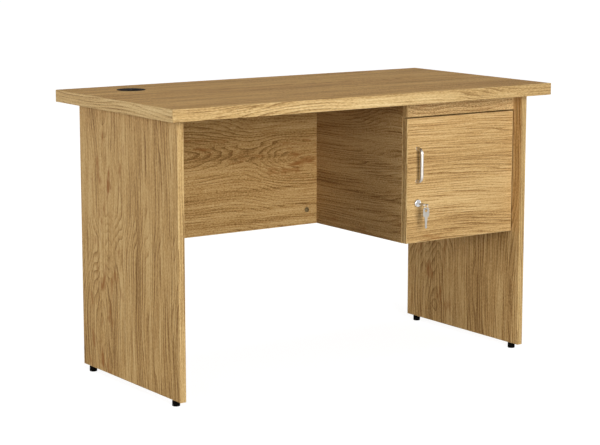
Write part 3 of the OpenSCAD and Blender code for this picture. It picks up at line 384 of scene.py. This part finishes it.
def hardware_finish(name, hex_text, roughness, grain, spread, bump, stretch=(1, 1, 1),
                    metallic=1.0, ior=1.5, specular=0.5, coat=0.0):
    """A metal, plastic, wood or rubber finish: one colour that varies a little with a
    fine texture and a broad mottle, which also move the roughness."""
    made = bpy.data.materials.new(name)
    tree = empty_tree(made)
    place = add(tree, "ShaderNodeTexCoord").outputs["Object"]
    cells = add(tree, "ShaderNodeVectorMath", place,
                [1000 / (grain * s) for s in stretch], operation="MULTIPLY")
    fine = add(tree, "ShaderNodeTexNoise", {
        "Vector": cells, "Scale": 1.0, "Detail": 3.0})
    # a mottle with cells of 17 mm
    broad = add(tree, "ShaderNodeTexNoise", {
        "Vector": place, "Scale": 60.0, "Detail": 2.0})
    # the two together lie about 1
    both = add(tree, "ShaderNodeMath", fine, broad, operation="ADD")
    dark, light = ((*(min(1.0, c * k) for c in srgb(hex_text)[:3]), 1.0)
                   for k in (1 - spread, 1 + spread))
    tone = add(tree, "ShaderNodeMix", {
        "Factor": add(tree, "ShaderNodeMapRange", both, 0.7, 1.3), 6: dark, 7: light},
        data_type="RGBA")
    rough = add(tree, "ShaderNodeMapRange", both, 0.6, 1.4, roughness * 0.8,
                min(1.0, roughness * 1.2))
    normal = add(tree, "ShaderNodeBump", {
        "Height": fine, "Strength": bump, "Distance": 0.05 * MM})
    # a metal keeps the shader's own IOR
    gloss = {} if metallic else {"IOR": ior, "Specular IOR Level": specular}
    face = add(tree, "ShaderNodeBsdfPrincipled", {
        "Base Color": tone.outputs[2], "Roughness": rough, "Metallic": metallic,
        "Normal": normal, "Coat Weight": coat, **gloss})
    add(tree, "ShaderNodeOutputMaterial", {"Surface": face})
    return made


def finish(name):
    """A hardware finish by its name, made once."""
    return bpy.data.materials.get(name) or hardware_finish(name, **FINISHES[name])


# Mesh helpers

# Points closer than this are one, and faces turned less than this are one flat face
SAME_POINT = 0.002 * MM
FLAT = math.radians(0.6)


def merged(node_name, flat=True):
    """A merged copy of a CAD node's mesh; flat faces are joined again where asked."""
    shape = bmesh.new()
    shape.from_mesh(NODES[node_name].data)
    bmesh.ops.remove_doubles(shape, verts=shape.verts, dist=SAME_POINT)
    if flat:
        bmesh.ops.dissolve_limit(shape, angle_limit=FLAT, verts=shape.verts,
                                 edges=shape.edges)
    bmesh.ops.recalc_face_normals(shape, faces=shape.faces)
    return shape


def islands(shape):
    """The vertices of each separate solid in a bmesh, in the mesh's own order."""
    seen, found = set(), []
    for start in shape.verts:
        if start in seen:
            continue
        seen.add(start)
        queue, solid = [start], []
        while queue:
            vert = queue.pop()
            solid.append(vert)
            for edge in vert.link_edges:
                other = edge.other_vert(vert)
                if other not in seen:
                    seen.add(other)
                    queue.append(other)
        found.append(solid)
    return found


def corners(verts):
    """Lowest and highest corner of some vertices."""
    spans = list(zip(*(vert.co for vert in verts)))
    return Vector([min(span) for span in spans]), Vector([max(span) for span in spans])


def solid_boxes(node_name):
    """Lowest and highest corner of each solid of a CAD node, from left to right."""
    shape = merged(node_name, flat=False)
    boxes = [corners(solid) for solid in islands(shape)]
    shape.free()
    return sorted(boxes, key=lambda box: [round(c, 5) for c in (*box[0], *box[1])])


def turn_to(direction):
    """Euler turn that brings local Z to the given direction."""
    return direction.to_track_quat("Z", "Y").to_euler()


def put_in_scene(name, data):
    """A new object of a mesh, lamp or camera."""
    made = bpy.data.objects.new(name, data)
    bpy.context.scene.collection.objects.link(made)
    return made


def piece_of(name, shape):
    """A new object of a bmesh, which is then freed."""
    mesh = bpy.data.meshes.new(name)
    shape.to_mesh(mesh)
    shape.free()
    return put_in_scene(name, mesh)


def bake_modifiers(piece):
    """Turns an object's modifiers into plain mesh and drops them."""
    graph = bpy.context.evaluated_depsgraph_get()
    mesh = bpy.data.meshes.new_from_object(piece.evaluated_get(graph), depsgraph=graph)
    piece.modifiers.clear()
    piece.data = mesh
    return piece


def dress(piece, material):
    """Gives an object's mesh one material."""
    piece.data.materials.clear()
    piece.data.materials.append(material)


def settle(piece, node_name, sharp=35):
    """Shades a finished piece, which rides with a CAD node's body and stands for the
    node."""
    piece.data.shade_smooth()
    piece.data.set_sharp_from_angle(angle=math.radians(sharp))
    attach(piece, BODY_OF[node_name])
    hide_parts(node_name)


def eased(name, node_name, rounding, angle=32):
    """A copy of a CAD node whose edges sharper than the angle are rounded by a multiple
    of the settings' easing."""
    piece = piece_of(name, merged(node_name))
    bevel = piece.modifiers.new("eased", "BEVEL")
    bevel.width = rounding * bpy.context.scene.desk_hardware.eased * MM
    bevel.segments = 2
    bevel.limit_method = "ANGLE"
    bevel.angle_limit = math.radians(angle)
    return bake_modifiers(piece)


def eased_copy(name, node_name, finish_name, slot, rounding, angle=32):
    """An eased copy of a CAD node in its finish, which stands for the node."""
    piece = eased(name, node_name, rounding, angle)
    dress(piece, finish(finish_name))
    settle(piece, node_name)


# Geometry node trees


def new_tree(name, sizes):
    """An empty geometry node tree with named inputs: points, sizes and a material."""
    tree = bpy.data.node_groups.new(name, "GeometryNodeTree")
    for direction in ("INPUT", "OUTPUT"):
        tree.interface.new_socket("Geometry", in_out=direction,
                                  socket_type="NodeSocketGeometry")
    for label, kind in {**sizes, "Material": "Material"}.items():
        tree.interface.new_socket(
            label, in_out="INPUT", socket_type=f"NodeSocket{kind}")
    return tree, add(tree, "NodeGroupInput").outputs


def on_points(tree, points, solid):
    """Stands a solid on each point, turned as the point says."""
    turn = add(tree, "GeometryNodeInputNamedAttribute", {"Name": "turn"},
               data_type="FLOAT_VECTOR")
    return add(tree, "GeometryNodeInstanceOnPoints", {
        "Points": points, "Instance": solid,
        "Rotation": add(tree, "FunctionNodeEulerToRotation", turn)})


def close_tree(tree, material, made):
    """Ends a tree with real geometry in its material."""
    whole = add(tree, "GeometryNodeRealizeInstances", made)
    dressed = add(tree, "GeometryNodeSetMaterial", {
        "Geometry": whole, "Material": material})
    add(tree, "NodeGroupOutput", dressed)
    return tree


def run_tree(name, tree, points, values, turns=(), radii=(), edges=()):
    """Evaluates a tree on a mesh of points or polylines into a plain mesh object."""
    mesh = bpy.data.meshes.new(name)
    mesh.from_pydata([tuple(p) for p in points], list(edges), [])
    for label, kind, field, data in (
            ("turn", "FLOAT_VECTOR", "vector", [c for turn in turns for c in turn]),
            ("turned radius", "FLOAT", "value", radii)):
        if data:
            mesh.attributes.new(label, kind, "POINT").data.foreach_set(field, data)
    piece = put_in_scene(name, mesh)
    modifier = piece.modifiers.new("made", "NODES")
    modifier.node_group = tree
    keys = {s.name: s.identifier for s in tree.interface.items_tree
            if s.item_type == "SOCKET" and s.in_out == "INPUT"}
    for label, value in values.items():
        modifier[keys[label]] = value
    return bake_modifiers(piece)


def turned_screw_tree():
    """Turns polylines that carry a radius at each point, and cuts a cross at each point
    whose radius is 0."""
    tree, given = new_tree("turned screws", {
        "Steps": "Int", "Cross": "Float", "Cross width": "Float",
        "Cross depth": "Float"})
    radius = add(tree, "GeometryNodeInputNamedAttribute", {"Name": "turned radius"},
                 data_type="FLOAT")
    is_line = add(tree, "FunctionNodeCompare", radius, 0.0, data_type="FLOAT",
                  operation="GREATER_THAN")
    parts = add(tree, "GeometryNodeSeparateGeometry", {
        "Geometry": given["Geometry"], "Selection": is_line}, domain="POINT").outputs
    line = add(tree, "GeometryNodeMeshToCurve", {"Mesh": parts["Selection"]})
    ring = add(tree, "GeometryNodeCurvePrimitiveCircle", {
        "Resolution": given["Steps"], "Radius": 1.0}, mode="RADIUS")
    turned = add(tree, "GeometryNodeCurveToMesh", {
        "Curve": line, "Profile Curve": ring, "Fill Caps": True, "Scale": radius})
    cross = add(tree, "GeometryNodeJoinGeometry")
    for axis in (0, 1):
        size = add(tree, "ShaderNodeCombineXYZ", {
            axis: given["Cross"], 1 - axis: given["Cross width"],
            2: given["Cross depth"]})
        arm = add(tree, "GeometryNodeMeshCube", {"Size": size})
        tree.links.new(arm.outputs[0], cross.inputs[0])
    cutters = add(tree, "GeometryNodeRealizeInstances",
                  on_points(tree, parts["Inverted"], cross))
    cut = add(tree, "GeometryNodeMeshBoolean", {
        "Mesh 1": turned, "Mesh 2": cutters, "Self Intersection": True},
        operation="DIFFERENCE", solver="EXACT")
    return close_tree(tree, given["Material"], cut)


def cam_ring_tree():
    """Square-sectioned rings, one on each point and turned along its hole: cutters."""
    tree, given = new_tree("ring cutters", {
        "Steps": "Int", "Radius": "Float", "Width": "Float", "Depth": "Float"})
    circle = add(tree, "GeometryNodeCurvePrimitiveCircle", {
        "Resolution": given["Steps"], "Radius": given["Radius"]}, mode="RADIUS")
    section = add(tree, "GeometryNodeCurvePrimitiveQuadrilateral", {
        "Width": given["Width"], "Height": given["Depth"]}, mode="RECTANGLE")
    ring = add(tree, "GeometryNodeCurveToMesh", {
        "Curve": circle, "Profile Curve": section})
    return close_tree(tree, given["Material"], on_points(tree, given["Geometry"], ring))


def dowel_tree():
    """Fluted dowels with chamfered ends, one on each point, turned along its joint."""
    tree, given = new_tree("fluted dowels", {
        "Length": "Float", "Radius": "Float", "Flutes": "Int", "Flute depth": "Float"})
    faces = add(tree, "ShaderNodeMath", given["Flutes"], 4.0, operation="MULTIPLY")
    rod = add(tree, "GeometryNodeMeshCylinder", {
        "Vertices": faces, "Side Segments": 12, "Radius": given["Radius"],
        "Depth": given["Length"]}, fill_type="NGON")
    place = add(tree, "ShaderNodeSeparateXYZ",
                add(tree, "GeometryNodeInputPosition")).outputs
    # flutes: a wave round the rod, between its full radius and one flute depth less
    angle = add(tree, "ShaderNodeMath", place["Y"], place["X"], operation="ARCTAN2")
    angle = add(tree, "ShaderNodeMath", angle, given["Flutes"], operation="MULTIPLY")
    wave = add(tree, "ShaderNodeMath", angle, operation="COSINE")
    half = add(tree, "ShaderNodeMath", given["Flute depth"], 0.5, operation="MULTIPLY")
    sunk = add(tree, "ShaderNodeMath", wave, half, half, operation="MULTIPLY_ADD")
    # chamfers: the two end rings lie two flute depths further in
    height = add(tree, "ShaderNodeMath", place["Z"], operation="ABSOLUTE")
    end = add(tree, "ShaderNodeMath", given["Length"], 0.499, operation="MULTIPLY")
    at_end = add(tree, "ShaderNodeMath", height, end, operation="GREATER_THAN")
    chamfer = add(tree, "ShaderNodeMath", given["Flute depth"], 2.0,
                  operation="MULTIPLY")
    sunk = add(tree, "ShaderNodeMath", at_end, chamfer, sunk, operation="MULTIPLY_ADD")
    sunk = add(tree, "ShaderNodeMath", sunk, given["Radius"], operation="DIVIDE")
    shrink = add(tree, "ShaderNodeMath", 1.0, sunk, operation="SUBTRACT")
    x, y = (add(tree, "ShaderNodeMath", place[axis], shrink, operation="MULTIPLY")
            for axis in "XY")
    shaped = add(tree, "GeometryNodeSetPosition", {
        "Geometry": rod,
        "Position": add(tree, "ShaderNodeCombineXYZ", x, y, place["Z"])})
    dowels = on_points(tree, given["Geometry"], shaped)
    return close_tree(tree, given["Material"], dowels)


def stud_tree():
    """Threaded studs: a core rod with a ridge wound round it at the thread's pitch."""
    tree, given = new_tree("threaded studs", {
        "Length": "Float", "Radius": "Float", "Pitch": "Float"})
    ridge = add(tree, "ShaderNodeMath", given["Pitch"], 0.5, operation="MULTIPLY")
    core_radius = add(tree, "ShaderNodeMath", given["Radius"], ridge,
                      operation="SUBTRACT")
    core = add(tree, "GeometryNodeMeshCylinder", {
        "Vertices": 32, "Radius": core_radius, "Depth": given["Length"]},
        fill_type="NGON")
    # the thread stops a pitch short of either end
    run = add(tree, "ShaderNodeMath", given["Pitch"], -2.0, given["Length"],
              operation="MULTIPLY_ADD")
    turns = add(tree, "ShaderNodeMath", run, given["Pitch"], operation="DIVIDE")
    winding = add(tree, "GeometryNodeCurveSpiral", {
        "Resolution": 24, "Rotations": turns, "Start Radius": core_radius,
        "End Radius": core_radius, "Height": run})
    down = add(tree, "ShaderNodeMath", run, -0.5, operation="MULTIPLY")
    lowered = add(tree, "GeometryNodeTransform", {
        "Geometry": winding,
        "Translation": add(tree, "ShaderNodeCombineXYZ", 0.0, 0.0, down)})
    tooth = add(tree, "GeometryNodeCurvePrimitiveCircle", {
        "Resolution": 3, "Radius": ridge}, mode="RADIUS")
    thread = add(tree, "GeometryNodeCurveToMesh", {
        "Curve": lowered, "Profile Curve": tooth, "Fill Caps": True})
    stud = add(tree, "GeometryNodeJoinGeometry")
    for part in (core, thread):
        tree.links.new(part.outputs[0], stud.inputs[0])
    return close_tree(tree, given["Material"], on_points(tree, given["Geometry"], stud))


# Operators: one for each piece or group of like pieces


class DESK_OT_board_faces(bpy.types.Operator):
    """Gives each board its sheet of oak-print laminate, cut along the real grain, some
    sheets with painted light and shade
    """

    bl_idname = "desk.board_faces"
    bl_label = "Board faces"

    # grain direction, place on the print, strength of the figure, tone with painted
    # light and shade, how much wider the drawing is across the grain, and how strong
    # its long fibres are
    sheets = {
        # painted light: the top's print is made warmer and less blue, to take back the
        # pale sheen that the white room lays on it at a slant
        "desktop_panel": dict(
            grain="x", shift=(0.4, 0.12, 0.0), figure=0.8, tone_and_painted_light=(1.04, 0.965, 0.81)),
        # painted shade: the legs' prints are darkened, the left one more, to how each
        # leg is lit
        "left_leg_panel": dict(
            grain="z", shift=(2.738, 0.0, 0.005), figure=1.3, tone_and_painted_light=(0.87, 0.85, 0.79),
            wide=1.5, long_fibres=0.65),
        "right_leg_panel": dict(
            grain="z", shift=(2.763, 0.25, 0.503), figure=1.4, tone_and_painted_light=(0.94, 0.92, 0.87),
            wide=1.5, long_fibres=0.65),
        # painted shade: the modesty panel's print is darkened for the deep shade inside
        # the knee space
        "modesty_panel": dict(
            grain="x", shift=(0.643, 0.1, 0.09), figure=1.2, tone_and_painted_light=(0.72, 0.69, 0.62)),
        # painted shade: the cupboard's side is darkened for the deep shade inside the
        # knee space
        "cupboard_side_panel": dict(
            grain="y", shift=(0.7, 0.3, 0.03), figure=1.1, tone_and_painted_light=(0.78, 0.77, 0.76)),
        "cupboard_floor_panel": dict(grain="x", shift=(3.1, 0.8, 0.2), figure=0.8),
        "cupboard_back_panel": dict(grain="x", shift=(1.1, 0.9, 1.4)),
        "cupboard_top_rail": dict(grain="x", shift=(0.3, 2.2, 0.5), figure=0.8),
        # painted light: the fascia rail's print is lightened, against the shadow of the
        # desktop's overhang on it
        "fascia_rail": dict(
            grain="x", shift=(4.2, 0.1, 0.75), figure=1.2, tone_and_painted_light=(1.1, 1.18, 1.3)),
        "shelf_panel": dict(grain="x", shift=(5.0, 0.6, 0.1), figure=0.8),
        "door_panel": dict(
            grain="x", shift=(1.93, 0.25, 0.127), figure=0.6, tone_and_painted_light=(1.0, 1.01, 1.01),
            long_fibres=0.35),
    }

    def execute(self, context):
        for node_name, sheet in self.sheets.items():
            face = printed_laminate(f"oak_laminate_{node_name}", **sheet)
            dress(NODES[node_name], face)
        return {"FINISHED"}


class DESK_OT_edge_bands(bpy.types.Operator):
    """Makes the glued edge bands, each strip with its print running along its length"""

    bl_idname = "desk.edge_bands"
    bl_label = "Edge bands"

    # where each strip is cut from the roll, in metres: steps along it from node to node
    # and from strip to strip, and the first and the next rows across it
    node_step, strip_step = 1.61, 0.77
    first_row, row_step, rows = 0.2, -0.023, 4

    def execute(self, context):
        band = printed_laminate("oak_edge_band", "attribute", (0, 0, 0), figure=0.35,
                                tone_and_painted_light=(1.01, 1.07, 1.12))
        for count, node_name in enumerate(sorted(NODES)):
            if not node_name.endswith(("edge_bands", "edge_band")):
                continue
            shape = merged(node_name)
            shape.verts.index_update()
            places = {}
            for index, strip in enumerate(islands(shape)):
                low, high = corners(strip)
                size = list(high - low)
                axis = size.index(max(size))
                across = [k for k in range(3) if k != axis]
                along = self.node_step * count + self.strip_step * index
                row = self.first_row + self.row_step * (index % self.rows)
                cut = Vector((along, row, 0.0))
                for vert in strip:
                    places[vert.index] = cut + Vector(
                        (vert.co[axis], *(vert.co[k] - low[k] for k in across)))
            piece = piece_of(node_name + "_print", shape)
            grain = piece.data.attributes.new("grain", "FLOAT_VECTOR", "POINT")
            grain.data.foreach_set(
                "vector", [c for k in range(len(places)) for c in places[k]])
            dress(piece, band)
            settle(piece, node_name, sharp=50)
        return {"FINISHED"}


class DESK_OT_handle(bpy.types.Operator):
    """Makes the bow handle in satin nickel, with soft shoulders at the door"""

    bl_idname = "desk.handle"
    bl_label = "Handle"

    def execute(self, context):
        eased_copy("bow_handle", "door_handle", "satin_nickel_rod", "satin_chrome", 2.0,
                   angle=50)
        return {"FINISHED"}


class DESK_OT_lock(bpy.types.Operator):
    """Makes the cam lock: bezel and barrel, plug with its keyway, nut and cam"""

    bl_idname = "desk.lock"
    bl_label = "Lock"

    # name, CAD node, finish, slot and rounding
    pieces = (
        ("lock_bezel", "lock_housing", "polished_chrome", "chrome_plate", 2.8),
        ("lock_keyway_plug", "lock_plug", "polished_chrome", "chrome_plate", 0.6),
        ("lock_hex_nut", "lock_nut", "zinc_plated_steel", "zinc_plate", 1.6),
        ("lock_tongue", "lock_cam", "zinc_plated_steel", "zinc_plate", 1.0),
    )

    def execute(self, context):
        for piece in self.pieces:
            eased_copy(*piece)
        return {"FINISHED"}


class DESK_OT_keys(bpy.types.Operator):
    """Makes the two keys on their ring"""

    bl_idname = "desk.keys"
    bl_label = "Keys and ring"

    def execute(self, context):
        for name, node_name in (
                ("key_in_lock", "door_key"), ("key_on_ring", "spare_key")):
            eased_copy(name, node_name, "stamped_key_metal", "key_nickel", 1.2)
        eased_copy("ring_wire", "key_ring", "nickel_plated_steel", "key_nickel", 0.4,
                   angle=60)
        return {"FINISHED"}


class DESK_OT_hinges(bpy.types.Operator):
    """Makes the concealed hinges: cups, arms, pins and mounting plates"""

    bl_idname = "desk.hinges"
    bl_label = "Concealed hinges"

    def execute(self, context):
        for part, rounding in (("cup", 0.8), ("arm", 1.4), ("plate", 1.4)):
            eased_copy(f"hinge_{part}_pair", f"hinge_{part}s", "nickel_plated_steel",
                       "nickel_steel", rounding)
        eased_copy("hinge_pin_pair", "hinge_pins", "zinc_plated_steel", "zinc_plate",
                   0.6)
        return {"FINISHED"}


class DESK_OT_fittings(bpy.types.Operator):
    """Gives the cam fittings, bolts, pins, inserts and pads their finish"""

    bl_idname = "desk.fittings"
    bl_label = "Fittings"

    # in mm: how deep the driver's cross is sunk into a cam's open face, and the ring
    # round it: radius of its middle, width, and depth, half of it in the cam
    cross_depth = 1.8
    ring_radius, ring_width, ring_depth = 4.9, 2.6, 7.0
    # name, CAD node, finish, slot and rounding of the other fittings
    pieces = (
        ("shelf_spade_pins", "shelf_pins", "nickel_plated_steel", "nickel_steel", 0.8),
        ("insert_sleeves", "foot_inserts", "zinc_plated_steel", "zinc_plate", 0.8),
        ("door_bumpers", "bumper_pads", "clear_polyurethane", "clear_rubber", 2.0),
        ("cam_bolt_set", "cam_bolts", "zinc_plated_steel", "zinc_plate", 0.8),
    )

    def execute(self, context):
        cams = eased("cam_discs", "cam_fittings", 0.8)
        self.groove(cams, context.scene.desk_hardware.lathe_steps)
        dress(cams, finish("die_cast_zinc"))
        settle(cams, "cam_fittings")
        for piece in self.pieces:
            eased_copy(*piece)
        return {"FINISHED"}

    def groove(self, cams, steps):
        """Sinks the ring between each cam's rim and the boss that takes the driver."""
        shape = merged("cam_fittings", flat=False)
        points, turns = [], []
        for solid in islands(shape):
            low, high = corners(solid)
            axis = list(high - low).index(min(high - low))
            # the open face is the one with the cross's floor under it
            floor = low[axis] + self.cross_depth * MM
            opens_low = any(abs(v.co[axis] - floor) < 0.01 * MM for v in solid)
            face = (low + high) / 2
            face[axis] = low[axis] if opens_low else high[axis]
            points.append(face)
            turns.append(turn_to(AXES[axis]))
        shape.free()
        rings = run_tree("cam_ring_cutters", cam_ring_tree(), points, {
            "Steps": steps, "Radius": self.ring_radius * MM,
            "Width": self.ring_width * MM, "Depth": self.ring_depth * MM,
            "Material": finish("die_cast_zinc")}, turns)
        cut = cams.modifiers.new("groove", "BOOLEAN")
        cut.operation = "DIFFERENCE"
        cut.solver = "EXACT"
        cut.object = rings
        bake_modifiers(cams)
        bpy.data.objects.remove(rings)


class DESK_OT_screws(bpy.types.Operator):
    """Turns every screw from its solid's size, with a round head and a cross recess"""

    bl_idname = "desk.screws"
    bl_label = "Screws"

    # way the heads face, head height in mm, and how many times a head is as wide as
    # its shank
    screws = {
        "handle_screws": (Vector((0, 1, 0)), 2.0, 2),
        "hinge_cup_screws": (Vector((0, 1, 0)), 1.4, 2),
        "hinge_plate_screws": (Vector((-1, 0, 0)), 1.4, 2),
        "hinge_arm_screws": (Vector((-1, 0, 0)), 2.0, 2),
        "lock_cam_screw": (Vector((0, 1, 0)), 2.0, 3),
    }
    # a head from its base to its face, as shares of its height and of its radius
    head_outline = ((1.0, 1.0), (0.55, 1.0), (0.25, 0.93), (0.08, 0.78), (0.0, 0.55))
    # the shank starts this far under the head, and over this length its tip is drawn
    # in to this share
    head_step, tip_length, tip_share = 0.02 * MM, 1.2 * MM, 0.55
    # the cross: its most as a share of the head's radius, and the width of its arms as
    # a share of its own
    cross_most, arm_share = 1.1, 0.22

    def execute(self, context):
        hardware = context.scene.desk_hardware
        tree = turned_screw_tree()
        for node_name, (out, head_mm, head_share) in self.screws.items():
            head = head_mm * MM
            axis = [abs(c) for c in out].index(1)
            points, edges, radii, turns = [], [], [], []
            for low, high in solid_boxes(node_name):
                size = high - low
                length = size[axis]
                wide = max(size[k] for k in range(3) if k != axis) / 2
                shank = wide / head_share
                outline = [(length, shank * self.tip_share),
                           (length - self.tip_length, shank),
                           (head + self.head_step, shank)]
                outline += [(head * down, wide * share)
                            for down, share in self.head_outline]
                top = (low + high) / 2 + out * length / 2
                start = len(points)
                edges += [(start + k, start + k + 1) for k in range(len(outline) - 1)]
                for down, radius in outline:
                    points.append(top - out * down)
                    radii.append(radius)
                    turns.append((0, 0, 0))
                points.append(top)
                radii.append(0.0)
                turns.append(turn_to(out))
            cross = min(hardware.recess * MM, wide * self.cross_most)
            piece = run_tree(node_name + "_turned", tree, points, {
                "Steps": hardware.lathe_steps, "Cross": cross,
                "Cross width": cross * self.arm_share, "Cross depth": head,
                "Material": finish("zinc_plated_steel")}, turns, radii, edges)
            settle(piece, node_name)
        return {"FINISHED"}


class DESK_OT_dowels(bpy.types.Operator):
    """Makes the fluted beech dowels that line the boards up"""

    bl_idname = "desk.dowels"
    bl_label = "Dowels"

    flute_depth = 0.35 * MM

    def execute(self, context):
        points, turns = [], []
        for low, high in solid_boxes("dowels"):
            size = list(high - low)
            length, radius = max(size), min(size) / 2
            points.append((low + high) / 2)
            turns.append(turn_to(AXES[size.index(length)]))
        piece = run_tree("fluted_dowels", dowel_tree(), points, {
            "Length": length, "Radius": radius,
            "Flutes": context.scene.desk_hardware.flutes,
            "Flute depth": self.flute_depth, "Material": finish("turned_beech")}, turns)
        settle(piece, "dowels", sharp=40)
        return {"FINISHED"}


class DESK_OT_outlet(bpy.types.Operator):
    """Makes the cable outlet's liner and its turning cap in moulded black plastic"""

    bl_idname = "desk.outlet"
    bl_label = "Cable outlet"

    def execute(self, context):
        for name, node_name, rounding in (
                ("outlet_ring", "outlet_liner", 1.2),
                ("outlet_lid", "outlet_cap", 1.6)):
            eased_copy(name, node_name, "moulded_black_plastic", "black_plastic",
                       rounding)
        return {"FINISHED"}


class DESK_OT_feet(bpy.types.Operator):
    """Makes the four levelling feet: moulded pads on threaded studs"""

    bl_idname = "desk.feet"
    bl_label = "Levelling feet"

    def execute(self, context):
        tree = stud_tree()
        pitch = context.scene.desk_hardware.thread_pitch * MM
        for node_name in sorted(NODES):
            if node_name.startswith("foot_pad_"):
                eased_copy(node_name.replace("foot_pad", "moulded_foot"), node_name,
                           "moulded_black_plastic", "black_plastic", 1.2)
            if node_name.startswith("foot_stud_"):
                low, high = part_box(node_name)
                name = node_name.replace("foot_stud", "threaded_stud")
                piece = run_tree(name, tree, [(low + high) / 2], {
                    "Length": high.z - low.z, "Radius": (high.x - low.x) / 2,
                    "Pitch": pitch, "Material": finish("zinc_plated_steel")})
                settle(piece, node_name)
        return {"FINISHED"}


class DESK_OT_stage(bpy.types.Operator):
    """Sets up the white floor, five softboxes, the room's even light and the camera"""

    bl_idname = "desk.stage"
    bl_label = "Stage"

    # place, height it aims at over the desk's middle, side of the square, and setting
    softboxes = {
        "front_softbox": ((-0.9, -4.8, 1.6), 0.45, 2.2, "front_light"),
        "side_softbox": ((-5.0, -0.3, 1.4), 0.45, 2.0, "side_light"),
        "rear_softbox": ((-2.4, 4.4, 1.0), 0.45, 1.6, "rear_light"),
        "right_softbox": ((4.8, -0.2, 1.1), 0.45, 1.6, "rear_light"),
        "top_softbox": ((0, -0.4, 4.2), 0.75, 3.0, "top_light"),
    }
    # the photo's viewpoint, worked out from the desk's corners in it: heading from +Y
    # towards +X, and tilt, in radians
    viewpoint = (-2.84524, -4.07935, 1.22090)
    heading, tilt = 0.60473, -0.16758
    sensor_width = 36
    # the floor as it lights the desk, and under the white glow that the camera sees
    lit_grey, seen_grey = (0.38, 0.38, 0.38, 1), (0.3, 0.3, 0.3, 1)
    # the glow: less of it near the desk, where its shadow lies, and pure white far out
    near, far, near_glow, far_glow = 0.9, 3.0, 0.88, 1.0
    floor_half = 25

    def execute(self, context):
        scene = context.scene
        stage = scene.desk_stage
        self.floor()
        self.room(scene, stage.ambient)
        for name, (place, target, size, setting) in self.softboxes.items():
            lamp = bpy.data.lights.new(name, "AREA")
            lamp.shape = "SQUARE"
            lamp.size = size
            lamp.energy = getattr(stage, setting)
            self.aim(name, lamp, place, Vector((0, 0, target)) - Vector(place))
        lens = bpy.data.cameras.new("photo_camera")
        lens.sensor_width = self.sensor_width
        lens.lens = stage.focal_length
        level = math.cos(self.tilt)
        view = Vector((math.sin(self.heading) * level, math.cos(self.heading) * level,
                       math.sin(self.tilt)))
        scene.camera = self.aim("photo_camera", lens, self.viewpoint, view)
        scene.view_settings.view_transform = "Standard"
        return {"FINISHED"}

    @staticmethod
    def aim(name, data, place, direction):
        """Puts a lamp or a camera in its place, looking in a direction."""
        holder = put_in_scene(name, data)
        holder.location = place
        holder.rotation_mode = "QUATERNION"
        holder.rotation_quaternion = direction.to_track_quat("-Z", "Y")
        return holder

    def floor(self):
        """White studio floor: the camera sees it white, with the desk's soft shadow."""
        shape = bmesh.new()
        bmesh.ops.create_grid(shape, x_segments=8, y_segments=8, size=self.floor_half)
        floor = piece_of("studio_floor", shape)
        paint = bpy.data.materials.new("white_studio_floor")
        tree = empty_tree(paint)
        lit = add(tree, "ShaderNodeBsdfDiffuse", {"Color": self.lit_grey})
        seen = add(tree, "ShaderNodeBsdfDiffuse", {"Color": self.seen_grey})
        place = add(tree, "ShaderNodeTexCoord").outputs["Object"]
        away = add(tree, "ShaderNodeVectorMath", place, operation="LENGTH")
        strength = add(tree, "ShaderNodeMapRange", away.outputs["Value"], self.near,
                       self.far, self.near_glow, self.far_glow)
        glow = add(tree, "ShaderNodeEmission", {
            "Color": (1, 1, 1, 1), "Strength": strength})
        white = add(tree, "ShaderNodeAddShader", seen, glow)
        mixed = add(tree, "ShaderNodeMixShader", seen_directly(tree), lit, white)
        add(tree, "ShaderNodeOutputMaterial", {"Surface": mixed})
        dress(floor, paint)

    @staticmethod
    def room(scene, ambient):
        """Even white light all round; the camera and the metal see plain white."""
        scene.world = bpy.data.worlds.new("white_room")
        tree = empty_tree(scene.world)
        strength = add(tree, "ShaderNodeMapRange", {
            "Value": seen_directly(tree), "To Min": ambient, "To Max": 1.0})
        sky = add(tree, "ShaderNodeBackground", {
            "Color": (1, 1, 1, 1), "Strength": strength})
        add(tree, "ShaderNodeOutputWorld", {"Surface": sky})


def seen_directly(tree):
    """1 for rays from the camera, and for those that mirrors and glass send on."""
    path = add(tree, "ShaderNodeLightPath").outputs
    seen = path["Is Camera Ray"]
    for ray in ("Is Glossy Ray", "Is Transmission Ray"):
        seen = add(tree, "ShaderNodeMath", seen, path[ray], operation="MAXIMUM")
    return seen


STEPS = (
    DESK_OT_board_faces, DESK_OT_edge_bands, DESK_OT_handle, DESK_OT_lock, DESK_OT_keys,
    DESK_OT_hinges, DESK_OT_fittings, DESK_OT_screws, DESK_OT_dowels, DESK_OT_outlet,
    DESK_OT_feet, DESK_OT_stage,
)
SETTINGS = {
    "desk_boards": DeskBoardSettings,
    "desk_hardware": DeskHardwareSettings,
    "desk_stage": DeskStageSettings,
}


class DESK_PT_finish(bpy.types.Panel):
    """Lists the desk's settings and finishing steps in the sidebar"""

    bl_idname = "DESK_PT_finish"
    bl_label = "Office desk"
    bl_space_type = "VIEW_3D"
    bl_region_type = "UI"
    bl_category = "Desk"

    def draw(self, context):
        for group in SETTINGS:
            settings = getattr(context.scene, group)
            box = self.layout.box()
            for name in settings.__annotations__:
                box.prop(settings, name)
        for step in STEPS:
            self.layout.operator(step.bl_idname)


def register():
    for name, group in SETTINGS.items():
        bpy.utils.register_class(group)
        setattr(bpy.types.Scene, name, bpy.props.PointerProperty(type=group))
    for made in (*STEPS, DESK_PT_finish):
        bpy.utils.register_class(made)


def unregister():
    for made in reversed((*STEPS, DESK_PT_finish)):
        bpy.utils.unregister_class(made)
    for name, group in SETTINGS.items():
        delattr(bpy.types.Scene, name)
        bpy.utils.unregister_class(group)


def main():
    register()
    for step in STEPS:
        name = step.bl_idname.split(".")[1]
        if "FINISHED" not in getattr(bpy.ops.desk, name)():
            raise RuntimeError(f"the step {step.bl_label} didn't finish")


if __name__ == "__main__":
    main()
